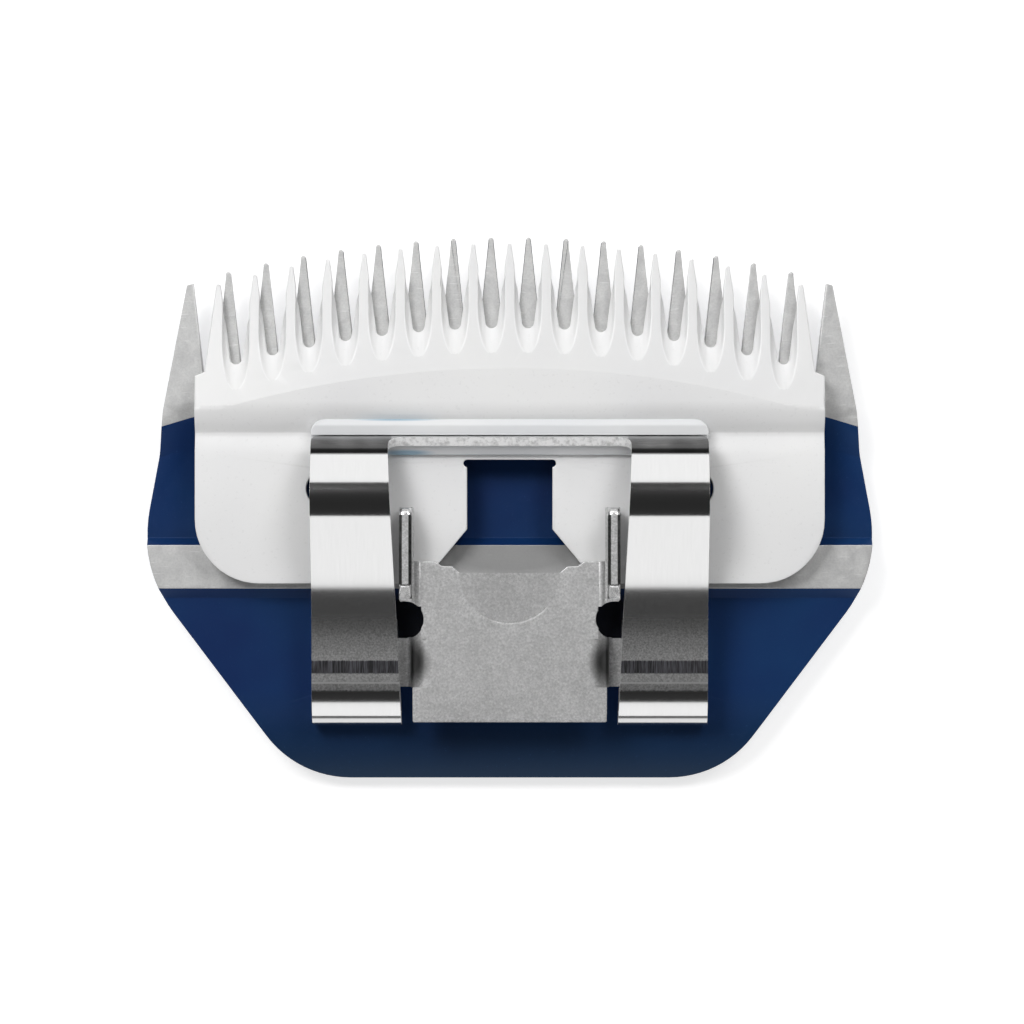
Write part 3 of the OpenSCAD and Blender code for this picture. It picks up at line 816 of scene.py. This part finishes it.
def punched(bm: bmesh.types.BMesh, holes: Iterable[tuple[float, float, float]]) -> None:
    """Punches round holes in the faces of a flat blank that hold them.

    Args:
        bm: Flat blank.
        holes: X, Y and radius of each hole in millimetres.
    """
    for x, y, radius in holes:
        middle = mm(x, y, 0)
        face = min(bm.faces, key=lambda f: (f.calc_center_median() - middle).length)
        edges = face.edges[:]
        bmesh.ops.delete(bm, geom=[face], context="FACES_ONLY")
        to_place = Matrix.Translation(middle)
        made = bmesh.ops.create_circle(
            bm, segments=HOLE_FACETS, radius=mm(radius), cap_ends=False, matrix=to_place
        )
        edges += {edge for vert in made["verts"] for edge in vert.link_edges}
        bmesh.ops.triangle_fill(bm, use_beauty=True, use_dissolve=False, edges=edges)


def scored(bm: bmesh.types.BMesh, axis: int, stations: Iterable[float]) -> None:
    """Cuts a mesh across at each station, so that it can bend there.

    Args:
        bm: Mesh to cut.
        axis: 0 to cut across X, 1 across Y, 2 across Z.
        stations: Places of the cuts in millimetres.
    """
    normal = Vector([float(i == axis) for i in range(3)])
    for station in stations:
        bmesh.ops.bisect_plane(
            bm,
            geom=bm.verts[:] + bm.edges[:] + bm.faces[:],
            dist=1e-8,
            plane_co=normal * mm(station),
            plane_no=normal,
        )


@dataclass(frozen=True)
class BentLine:
    """The middle line of a bent strip: straight lengths and arcs, in millimetres and degrees."""

    start: tuple[float, float]
    heading: float
    steps: tuple[tuple[float, ...], ...]

    @property
    def length(self) -> float:
        """Length of the line when it is rolled out."""
        return sum(s[0] if len(s) == 1 else s[0] * math.radians(abs(s[1])) for s in self.steps)

    def stations(self) -> list[float]:
        """Places along the line where a bend needs an edge.

        Returns:
            Distances from the start, without the two ends.
        """
        found, gone = [], 0.0
        for step in self.steps:
            size = step[0] if len(step) == 1 else step[0] * math.radians(abs(step[1]))
            count = 1 if len(step) == 1 else max(2, round(abs(step[1]) / BEND_FACET))
            found += [gone + size * (i + 1) / count for i in range(count)]
            gone += size
        return [s for s in found if s < gone - 1e-6]

    def at(self, distance: float) -> tuple[float, float]:
        """Finds the point at a distance along the line.

        Args:
            distance: Distance from the start in millimetres.

        Returns:
            The two coordinates of that point.
        """
        u, v = self.start
        a = math.radians(self.heading)
        left = distance
        for step in self.steps:
            if len(step) == 1:
                gone = left if step is self.steps[-1] else min(left, step[0])
                u, v = u + gone * math.cos(a), v + gone * math.sin(a)
                left -= gone
            else:
                radius, turn = step[0], math.radians(step[1])
                size = radius * abs(turn)
                part = math.copysign(min(left, size) / radius, turn)
                side = math.copysign(radius, turn)
                u += side * (math.sin(a + part) - math.sin(a))
                v -= side * (math.cos(a + part) - math.cos(a))
                a += part
                left -= min(left, size)
            if left <= 1e-9:
                break
        return u, v


def bent(bm: bmesh.types.BMesh, place: Callable[[float, float], Sequence[float]]) -> None:
    """Folds a scored blank into its shape.

    Args:
        bm: Flat blank, scored where it bends.
        place: Gives the folded place of a point of the blank, all in millimetres.
    """
    for vert in bm.verts:
        vert.co = mm(*place(vert.co.x / MM, vert.co.y / MM))


def mirrored(half: Sequence[tuple[float, float, float]]) -> list[tuple[float, float, float]]:
    """Completes the corners of an outline from those right of its middle line."""
    return list(half) + [(-x, y, radius) for x, y, radius in reversed(half)]


def cad_copy(node: bpy.types.Object) -> bmesh.types.BMesh:
    """Copies the mesh of a CAD node and welds its loose triangles.

    Args:
        node: CAD node to copy.

    Returns:
        The copy as one closed shell.
    """
    bm = bmesh.new()
    bm.from_mesh(node.data)
    bmesh.ops.remove_doubles(bm, verts=bm.verts[:], dist=mm(WELD))
    bmesh.ops.dissolve_degenerate(bm, edges=bm.edges[:], dist=mm(SLIVER))
    return bm


def flattened(bm: bmesh.types.BMesh, side: int, keep: EdgeTest = lambda edge: True) -> None:
    """Clears the edges that only split a level face, so that a bevel runs evenly round it.

    Args:
        bm: Mesh with up-to-date normals.
        side: 1 for the faces that look up, -1 for those that look down.
        keep: Says whether an edge may be cleared.
    """
    level = [
        edge
        for edge in bm.edges
        if len(edge.link_faces) == 2
        and min(side * face.normal.z for face in edge.link_faces) > LEVEL
        and keep(edge)
    ]
    bmesh.ops.dissolve_edges(bm, edges=level, use_verts=False)


def soften(
    bm: bmesh.types.BMesh,
    width_mm: float,
    angle: float,
    keep: EdgeTest = lambda edge: True,
    segments: int = 2,
) -> list[bmesh.types.BMFace]:
    """Bevels the sharp edges of a mesh that a test lets through.

    Args:
        bm: Mesh to bevel.
        width_mm: Width of the bevel in millimetres.
        angle: Least angle in degrees of an edge that is bevelled.
        keep: Says whether an edge is bevelled.
        segments: Facets of the bevel.

    Returns:
        The faces of the bevel.
    """
    limit = math.radians(angle)
    edges = [
        edge
        for edge in bm.edges
        if len(edge.link_faces) == 2 and edge.calc_face_angle(0.0) > limit and keep(edge)
    ]
    made = bmesh.ops.bevel(
        bm,
        geom=edges,
        offset=mm(width_mm),
        offset_type="OFFSET",
        segments=segments,
        profile=0.5,
        affect="EDGES",
        clamp_overlap=False,
        material=-1,
    )
    return made["faces"]


def creased(
    bm: bmesh.types.BMesh,
    also: Callable[[bmesh.types.BMEdge, float], bool] = lambda edge, angle: False,
) -> None:
    """Marks the edges across which the shading breaks: the sharp ones, and those of a test.

    Args:
        bm: Mesh to mark.
        also: Says whether an edge with its angle in degrees breaks too.
    """
    for edge in bm.edges:
        if len(edge.link_faces) == 2:
            angle = math.degrees(edge.calc_face_angle(0.0))
            edge.smooth = angle < BREAK and not also(edge, angle)


# ---------------------------------------------------------------- sub-assemblies


@dataclass
class Comb:
    """Lower blade: tool steel plate, coated blue, with its cutting plane ground bare."""

    cutting_plane: float = 3.4
    plane_slack: float = 0.06
    plane_lean: float = 0.2
    flank_lean: float = 0.7
    teeth_from: float = 8.0
    edge: float = 0.05
    coating: BlueCoating = field(default_factory=BlueCoating)
    ground: GroundSteel = field(default_factory=GroundSteel)

    def build(self, node: bpy.types.Object) -> bpy.types.Object:
        """Makes the comb from its CAD node, and grinds the faces in the cutting plane bare.

        Args:
            node: CAD node of the comb.

        Returns:
            The finished piece.
        """
        bm = cad_copy(node)
        bm.normal_update()
        flattened(bm, -1)
        soften(bm, self.edge, SHARP)
        bm.normal_update()
        creased(bm)
        for face in bm.faces:
            face.material_index = int(self.is_ground(face))
        finishes = (self.coating.build(), self.ground.build())
        piece = piece_from(bm, "comb_plate", Body.COMB, finishes)
        evened(piece)
        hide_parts("comb")
        return piece

    def is_ground(self, face: bmesh.types.BMFace) -> bool:
        """Tells whether a face was ground bare: the cutting plane, and the flanks of the teeth.

        Args:
            face: Face of the comb.

        Returns:
            True for a bare face.
        """
        lowest = min(v.co.z for v in face.verts)
        top = lowest > mm(self.cutting_plane - self.plane_slack) and face.normal.z > self.plane_lean
        at_teeth = face.calc_center_median().y > mm(self.teeth_from)
        return top or (at_teeth and abs(face.normal.z) < self.flank_lean)


@dataclass
class Cutter:
    """Upper blade: zirconia, moulded with a scoop behind each gap, then ground on its underside."""

    edge: float = 0.06
    edge_angle: float = 30.0
    tooth_edge: float = 0.1
    tooth_angle: float = 20.0
    tooth_break: float = 9.0
    tooth_zone: Pair = (8.3, 3.8)
    underside: float = 3.43
    groove_lip: Pair = (7.76, 6.23)
    groove_round: float = 1.1
    groove_slope: float = 0.8
    groove_facets: int = 16
    lip_slack: float = 0.02
    top_lean: float = 0.1
    ground_slope: float = 12.0
    slope_slack: float = 4.0
    scoop_lean: float = 0.15
    ceramic: Zirconia = field(default_factory=Zirconia)
    ground: Zirconia = field(
        default_factory=lambda: Zirconia("ground_zirconia", "#e7e7e8", 0.36, bright="#ececeb")
    )
    fired: Zirconia = field(
        default_factory=lambda: Zirconia("fired_zirconia", "#efeff0", 0.34, bright="#f3f3f2")
    )

    def build(self, node: bpy.types.Object) -> bpy.types.Object:
        """Makes the cutter from its CAD node, with its moulded edges rounded.

        Args:
            node: CAD node of the cutter.

        Returns:
            The finished piece.
        """
        bm = cad_copy(node)
        self.round_lip(bm)
        soften(bm, self.tooth_edge, self.tooth_angle, self.on_teeth)
        soften(bm, self.edge, self.edge_angle, lambda edge: not self.on_teeth(edge))
        front = mm(self.tooth_zone[0])
        for vert in bm.verts:
            if vert.co.y > front:
                vert.co.z = max(vert.co.z, mm(self.underside))
        bm.normal_update()
        creased(bm, lambda edge, angle: angle > self.tooth_break and edge.verts[0].co.y > front)
        for face in bm.faces:
            face.material_index = self.finish_of(face)
        finishes = (self.ceramic.build(), self.ground.build(), self.fired.build())
        piece = piece_from(bm, "cutter_blade", Body.CUTTER, finishes)
        evened(piece)
        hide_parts("cutter")
        return piece

    def finish_of(self, face: bmesh.types.BMFace) -> int:
        """Tells the ground land of the teeth and the scoops between them from the moulded rest.

        Args:
            face: Face of the cutter.

        Returns:
            0 for moulded, 1 for ground, 2 for the scoops.
        """
        if face.calc_center_median().y <= mm(self.tooth_zone[0]) or face.normal.z <= self.top_lean:
            return 0
        if abs(face.normal.x) > self.scoop_lean:
            return 2
        slope = math.degrees(math.atan2(face.normal.y, face.normal.z))
        return int(abs(slope - self.ground_slope) < self.slope_slack)

    def round_lip(self, bm: bmesh.types.BMesh) -> None:
        """Rounds the front lip of the groove into one flowing curve.

        Args:
            bm: Mesh of the cutter.
        """
        lip_y, lip_z = self.groove_lip
        reach, count, slope = self.groove_round, self.groove_facets, self.groove_slope
        scored(bm, 1, [lip_y - reach + 2 * reach * i / count for i in range(count + 1)])
        for vert in bm.verts:
            y, z = vert.co.y / MM, vert.co.z / MM
            if abs(y - lip_y) < reach and z > lip_z - slope * reach - self.lip_slack:
                vert.co.z = mm(min(z, lip_z - slope * (lip_y + reach - y) ** 2 / (4 * reach)))

    def on_teeth(self, edge: bmesh.types.BMEdge) -> bool:
        """Finds the upper edges of the teeth and of the scoops between them."""
        y, z = self.tooth_zone
        return all(v.co.y > mm(y) and v.co.z > mm(z) for v in edge.verts)


@dataclass
class TensionSpring:
    """U of spring steel: stamped as one flat blank with two arms, then bent and tumbled."""

    thickness: float = 0.75
    edge: float = 0.12
    half_width: float = 16.35
    inner_rear: float = 8.95
    inner_front: float = 10.0
    gap_end: float = 1.2
    rear: float = -18.0
    fold: float = 1.25
    fold_top: float = 1.55
    shoulder: float = 4.92
    shoulder_turn: float = 34.0
    rise_turn: float = 27.0
    fall_turn: float = 30.0
    foot_turn: float = 80.0
    leaf: float = 7.45
    flat: float = 1.99
    rise_bend: float = 15.65
    rise: float = 4.88
    crest: float = 3.25
    fall: float = 1.82
    curl: float = 3.38
    leaf_z: float = 2.975
    foot_z: float = 5.71
    window_z: float = 6.96
    window_corner: float = 1.1
    foot_corner: float = 2.0
    leaf_corner: float = 0.6
    screw_at: Pair = (12.6, -12.8)
    screw_hole: float = 1.55
    steel: SpringSteel = field(default_factory=SpringSteel)
    sheared: ShearedEdge = field(default_factory=ShearedEdge)

    def line(self) -> BentLine:
        """Works out the bent middle line, from the end of the lower leaf to the foot.

        Returns:
            The line in Y and Z.
        """
        middle = self.fold - self.thickness / 2
        start = (self.rear + self.fold + self.leaf, self.leaf_z)
        steps = (
            (self.leaf,),
            (middle, -90.0),
            (self.fold_top, self.shoulder_turn - 90),
            (self.shoulder, -self.shoulder_turn),
            (self.flat,),
            (self.rise_bend, self.rise_turn),
            (self.rise,),
            (self.crest, -self.rise_turn - self.fall_turn),
            (self.fall,),
            (self.curl, self.fall_turn - self.foot_turn),
        )
        short = BentLine(start, 180.0, steps)
        slope = math.radians(self.foot_turn)
        drop = short.at(short.length)[1] - self.foot_z
        foot = drop / math.sin(slope) - self.thickness / 2 / math.tan(slope)
        return BentLine(start, 180.0, steps + ((foot,),))

    def build(self) -> bpy.types.Object:
        """Stamps, bends and finishes the spring.

        Returns:
            The finished piece.
        """
        line = self.line()
        total = line.length
        foot_y = line.at(total)[0] - self.gap_end
        places = (hundredth / 100 for hundredth in range(int(total * 100), 0, -1))
        window = next(s for s in places if line.at(s)[1] > self.window_z)

        def place(x: float, s: float) -> tuple[float, float, float]:
            """Folds one point of the blank; the gap between the arms widens to the front.

            Args:
                x: Distance from the middle line of the blank in millimetres.
                s: Distance along the strip in millimetres.

            Returns:
                X, Y and Z in millimetres.
            """
            y, z = line.at(s)
            share = min(1.0, (y - self.rear) / (foot_y - self.rear))
            gap = self.inner_rear + (self.inner_front - self.inner_rear) * share
            side, reach = math.copysign(1, x), abs(x)
            if reach < self.inner_rear:
                return x * gap / self.inner_rear, y, z
            arm = (self.half_width - gap) / (self.half_width - self.inner_rear)
            return side * (self.half_width - (self.half_width - reach) * arm), y, z

        right = [
            (self.half_width, total, self.foot_corner),
            (self.half_width, 0.0, self.leaf_corner),
            (self.inner_rear, 0.0, 0.0),
            (self.inner_rear, window, self.window_corner),
        ]
        bm = blank(mirrored(right))
        scored(bm, 1, line.stations())
        punched(bm, self.holes(line))
        bent(bm, place)
        bmesh.ops.recalc_face_normals(bm, faces=bm.faces[:])
        finishes = (self.steel.build(), self.sheared.build())
        piece = piece_from(bm, "tension_spring_strip", Body.COMB, finishes)
        walled(piece, self.thickness, rim=1)
        rounded_edges(piece, self.edge)
        evened(piece)
        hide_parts("tension_spring")
        return piece

    def holes(self, line: BentLine) -> list[tuple[float, float, float]]:
        """Places the two screw holes on the flat blank.

        Args:
            line: Bent middle line of the strip.

        Returns:
            X, distance along the strip and radius of each hole.
        """
        x, y = self.screw_at
        return [(side * x, line.start[0] - y, self.screw_hole) for side in (-1, 1)]


@dataclass
class SpringGuide:
    """Plastic strip that lies in the cutter's groove and holds the foot of the spring."""

    plastic: ClearNylon = field(default_factory=ClearNylon)
    edge: float = 0.12
    edge_angle: float = 30.0

    def build(self, node: bpy.types.Object) -> bpy.types.Object:
        """Makes the guide from its CAD node, with moulded round edges.

        Args:
            node: CAD node of the guide.

        Returns:
            The finished piece.
        """
        bm = cad_copy(node)
        soften(bm, self.edge, self.edge_angle)
        creased(bm)
        finishes = (self.plastic.build(),)
        piece = piece_from(bm, "spring_guide_strip", Body.COMB, finishes)
        evened(piece)
        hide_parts("spring_guide")
        return piece


@dataclass
class HingeSocket:
    """Stamped socket for the clipper's hinge: plate, two rolled walls with flanges, two ears."""

    edge: float = 0.1
    edge_angle: float = 50.0
    upright_lean: float = 0.2
    level_lean: float = 0.95
    plate_top: float = 6.95
    ear_edge: float = 0.26
    ear_x: float = 7.85
    ear_middle: float = 8.4
    ear_foot: float = 7.6
    ear_growth: float = 0.16
    ear_from: float = 0.4
    end_slope: float = 0.13
    bend: float = 1.6
    bend_at: Pair = (6.6, 5.35)
    bend_slack: float = 0.03
    strip_x: float = 7.3
    wall: Pair = (-14.8, -10.8)
    wall_x: float = 6.5
    wall_slack: float = 0.9
    under_plate: float = 0.1
    notch: float = 1.27
    notch_at: Pair = (8.45, -9.47)
    moon: float = 4.15
    moon_at: Pair = (0.0, -5.34)
    moon_edge: float = 0.12
    moon_angle: float = 60.0
    moon_half: float = 3.0
    moon_around: float = 0.3
    moon_break: float = 1.5
    touching: float = 0.01
    sheet: BlastedSheet = field(default_factory=BlastedSheet)
    tumbled: ShearedEdge = field(
        default_factory=lambda: ShearedEdge(
            "tumbled_steel_edge", "#ececec", 0.24, 1.0, "#c4c4c4", 0.3, 0.004
        )
    )
    # painted shade: dark grey on the ears' rounded rims
    oiled: ShearedEdge = field(
        default_factory=lambda: ShearedEdge(
            "oiled_steel_edge", "#5c5c5c", 0.34, 1.0, "#3c3c3c", 0.3, 0.004
        )
    )

    def build(self, node: bpy.types.Object) -> bpy.types.Object:
        """Makes the socket from its CAD node, and finishes its bends and sheared edges, with
        painted shade on the ears' rounded rims.

        Args:
            node: CAD node of the socket.

        Returns:
            The finished piece.
        """
        bm = cad_copy(node)
        self.close_notches(bm)
        self.thicken_ears(bm)
        scored(bm, 2, [self.ear_foot])
        soften(bm, self.moon_edge, self.moon_angle, self.on_moon, segments=1)
        rounding = soften(bm, self.ear_edge, SHARP, self.on_ear, segments=3)
        bm.normal_update()
        # the ears' rounded rims take the painted shade
        for face in rounding:
            face.material_index = 2
        for face in bm.faces:
            is_end = abs(face.normal.y) > self.end_slope
            if is_end and face.calc_center_median().z > mm(self.ear_foot):
                face.material_index = 1
        flattened(bm, 1, lambda edge: not self.near_moon(edge))
        soften(bm, self.edge, self.edge_angle, self.sheared)
        bm.normal_update()
        creased(bm, lambda edge, angle: angle > self.moon_break and self.near_moon(edge))
        finishes = (self.sheet.build(), self.tumbled.build(), self.oiled.build())
        piece = piece_from(bm, "hinge_socket_sheet", Body.COMB, finishes)
        evened(piece)
        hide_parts("socket")
        return piece

    def close_notches(self, bm: bmesh.types.BMesh) -> None:
        """Draws the front end of each wall up to the round notch in front of it.

        Args:
            bm: Mesh of the socket.
        """
        x0, y0 = self.notch_at
        bend_x, bend_z = self.bend_at
        below_plate = self.plate_top - self.under_plate
        for vert in bm.verts:
            x, y, z = abs(vert.co.x) / MM, vert.co.y / MM, vert.co.z / MM
            outer = math.hypot(x - bend_x, max(z, bend_z) - bend_z) > self.bend - self.bend_slack
            at_front = abs(y - self.wall[1]) < self.touching and z < below_plate
            if outer and at_front and self.strip_x - self.touching < x < x0:
                vert.co.y = mm(y0 - math.sqrt(self.notch**2 - (x - x0) ** 2))

    def thicken_ears(self, bm: bmesh.types.BMesh) -> None:
        """Spreads both faces of each upright ear a little, as its flattened stamping burr does.

        Args:
            bm: Mesh of the socket.
        """
        for vert in bm.verts:
            x, z = abs(vert.co.x) / MM, vert.co.z / MM
            if x > self.ear_x and z > self.plate_top + self.ear_from:
                out = self.ear_growth if x > self.ear_middle else -self.ear_growth
                vert.co.x += math.copysign(mm(out), vert.co.x)

    def on_ear(self, edge: bmesh.types.BMEdge) -> bool:
        """Finds the edges of the two ears, which are tumbled round over most of the sheet."""
        foot = mm(self.ear_foot - self.touching)
        return all(abs(v.co.x) > mm(self.ear_x) and v.co.z > foot for v in edge.verts)

    def off_moon(self, vert: bmesh.types.BMVert) -> float:
        """Measures how far a vertex lies outside the half-moon's circle, in millimetres."""
        return math.hypot(*(vert.co.xy - mm(*self.moon_at))) / MM - self.moon

    def on_moon(self, edge: bmesh.types.BMEdge) -> bool:
        """Finds the upper rim of the half-moon's rear wall.

        Args:
            edge: Edge of the socket.

        Returns:
            True for an edge of that rim.
        """
        top, half = mm(self.plate_top - 2 * self.touching), mm(self.moon_half)
        return all(
            abs(self.off_moon(v)) < 3 * self.touching and v.co.z > top and abs(v.co.x) < half
            for v in edge.verts
        )

    def near_moon(self, edge: bmesh.types.BMEdge) -> bool:
        """Tells whether an edge lies at the half-moon, whose faces are flat."""
        floor, around = mm(self.plate_top - self.moon_around), self.moon_around
        return all(self.off_moon(v) < around and v.co.z > floor for v in edge.verts)

    def at_wall_end(self, vert: bmesh.types.BMVert) -> bool:
        """Tells whether a vertex lies at either end of a wall, where the bend runs out."""
        near = any(abs(vert.co.y - mm(end)) < mm(self.wall_slack) for end in self.wall)
        return near and abs(vert.co.x) > mm(self.wall_x)

    def sheared(self, edge: bmesh.types.BMEdge) -> bool:
        """Tells the sheared edges of the flat sheet from its bends, the ears and the half-moon.

        Args:
            edge: Edge of the socket.

        Returns:
            True for a sheared edge.
        """
        upright, level = sorted(abs(f.normal.z) for f in edge.link_faces)
        return (
            upright < self.upright_lean
            and level > self.level_lean
            and not any(self.at_wall_end(v) for v in edge.verts)
            and not self.near_moon(edge)
            and all(abs(v.co.x) < mm(self.ear_x) or v.co.z < mm(self.plate_top) for v in edge.verts)
        )


@dataclass
class ScrewPair:
    """Two slotted countersunk screws, from the skin face into the socket's flanges."""

    edge: float = 0.05
    steel: TurnedSteel = field(default_factory=TurnedSteel)

    def build(self, nodes: dict[str, bpy.types.Object]) -> list[bpy.types.Object]:
        """Makes both screws from their CAD nodes, with their edges broken.

        Args:
            nodes: CAD nodes by name.

        Returns:
            The two pieces, left one first.
        """
        finish = self.steel.build()
        made = []
        for word in ("left", "right"):
            bm = cad_copy(nodes[f"screw_{word}"])
            soften(bm, self.edge, BREAK)
            creased(bm)
            piece = piece_from(bm, f"socket_screw_{word}", Body.COMB, (finish,))
            evened(piece)
            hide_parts(f"screw_{word}")
            made.append(piece)
        return made


# ---------------------------------------------------------------- studio


@dataclass(frozen=True)
class Lamp:
    """A softbox: its middle and its sides in millimetres, and its power in watts."""

    name: str
    at: tuple[float, float, float]
    sides: Pair
    power: float

    def hang(self) -> None:
        """Hangs the softbox so that it faces the object."""
        data = bpy.data.lights.new(self.name, "AREA")
        data.shape = "RECTANGLE"
        data.size, data.size_y = (mm(side) for side in self.sides)
        data.energy = self.power
        lamp = bpy.data.objects.new(self.name, data)
        lamp.location = mm(*self.at)
        lamp.rotation_mode = "QUATERNION"
        lamp.rotation_quaternion = (-Vector(self.at)).to_track_quat("-Z", "Y")
        bpy.context.scene.collection.objects.link(lamp)


@dataclass
class Studio:
    """Pale floor, soft lamps and the camera above."""

    camera_height: float = 413.4
    camera_at: Pair = (0.187, -0.332)
    lens: float = 173.46
    sensor: float = 36.0
    clip: Pair = (0.01, 20.0)
    floor_gap: float = 0.02
    floor_half: float = 3.0
    floor_colour: str = "#cccccc"
    floor_glow: float = 0.66
    heights: Stops = ((0.0, 0.35), (0.1, 0.2), (0.24, 0.16), (0.6, 0.1), (0.77, 0.035), (1.0, 0.03))
    lamps: tuple[Lamp, ...] = (
        Lamp("key_left", (-190, 220, 380), (180, 180), 1.12),
        Lamp("key_right", (190, 220, 380), (180, 180), 0.58),
        Lamp("box_front", (0, 420, 260), (700, 250), 0.7),
        Lamp("box_rear", (0, -420, 260), (700, 250), 0.68),
    )

    def build(self) -> None:
        """Sets up the floor, the world, the lamps, the camera and the view."""
        self.floor()
        self.world()
        for lamp in self.lamps:
            lamp.hang()
        self.camera()
        bpy.context.scene.view_settings.view_transform = "Standard"

    def floor(self) -> None:
        """Lays the pale floor under the comb, clear from below, so that the skin face shows."""
        bm = bmesh.new()
        below = Matrix.Translation(mm(0, 0, -self.floor_gap))
        bmesh.ops.create_grid(bm, x_segments=1, y_segments=1, size=self.floor_half, matrix=below)
        mesh = bpy.data.meshes.new("floor")
        bm.to_mesh(mesh)
        bm.free()
        floor = bpy.data.objects.new("floor", mesh)
        bpy.context.scene.collection.objects.link(floor)
        material = bpy.data.materials.new("floor_paper")
        material.use_nodes = True
        material.node_tree.nodes.clear()
        add = partial(add_node, material.node_tree)
        seen = add("LightPath", out="Is Camera Ray")
        for ray in ("Glossy", "Transmission"):
            other = add("LightPath", out=f"Is {ray} Ray")
            seen = add("Math", {0: seen, 1: other}, operation="MAXIMUM")
        strength = add("Math", {0: seen, 1: self.floor_glow}, operation="MULTIPLY")
        paper = add("BsdfDiffuse", {"Color": self.floor_colour})
        both = add("AddShader", {0: paper, 1: add("Emission", {"Strength": strength})})
        behind = add("NewGeometry", out="Backfacing")
        both = add("MixShader", {0: behind, 1: both, 2: add("BsdfTransparent")})
        add("OutputMaterial", {"Surface": both})
        mesh.materials.append(material)

    def world(self) -> None:
        """Surrounds the object with a studio that is pale low down and dark overhead."""
        world = bpy.data.worlds.new("studio")
        world.use_nodes = True
        bpy.context.scene.world = world
        add = partial(add_node, world.node_tree)
        up = add("SeparateXYZ", {0: add("TexCoord", out="Generated")}, "Z")
        room = add("ValToRGB", {0: up}, stops=self.heights)
        seen = add("LightPath", out="Is Camera Ray")
        white = add("Mix", {0: seen, 6: room, 7: "#ffffff"}, 2, data_type="RGBA")
        feed(world.node_tree.nodes["Background"], {"Color": white})

    def camera(self) -> None:
        """Hangs the camera straight above the blade set."""
        data = bpy.data.cameras.new("camera")
        data.lens, data.sensor_width = self.lens, self.sensor
        data.clip_start, data.clip_end = self.clip
        camera = bpy.data.objects.new("camera", data)
        camera.location = mm(*self.camera_at, self.camera_height)
        bpy.context.scene.collection.objects.link(camera)
        bpy.context.scene.camera = camera


def main() -> None:
    """Builds the blade set round its frame, logs the faces of each piece, then builds the studio.
    """
    logging.basicConfig(level=logging.INFO, format="%(message)s")
    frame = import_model()
    nodes = frame["nodes"]
    pieces = [
        Comb().build(nodes["comb"]),
        Cutter().build(nodes["cutter"]),
        TensionSpring().build(),
        SpringGuide().build(nodes["spring_guide"]),
        HingeSocket().build(nodes["socket"]),
        *ScrewPair().build(nodes),
    ]
    for piece in pieces:
        LOG.info("%s: %d faces", piece.name, len(piece.data.polygons))
    Studio().build()


if __name__ == "__main__":
    main()
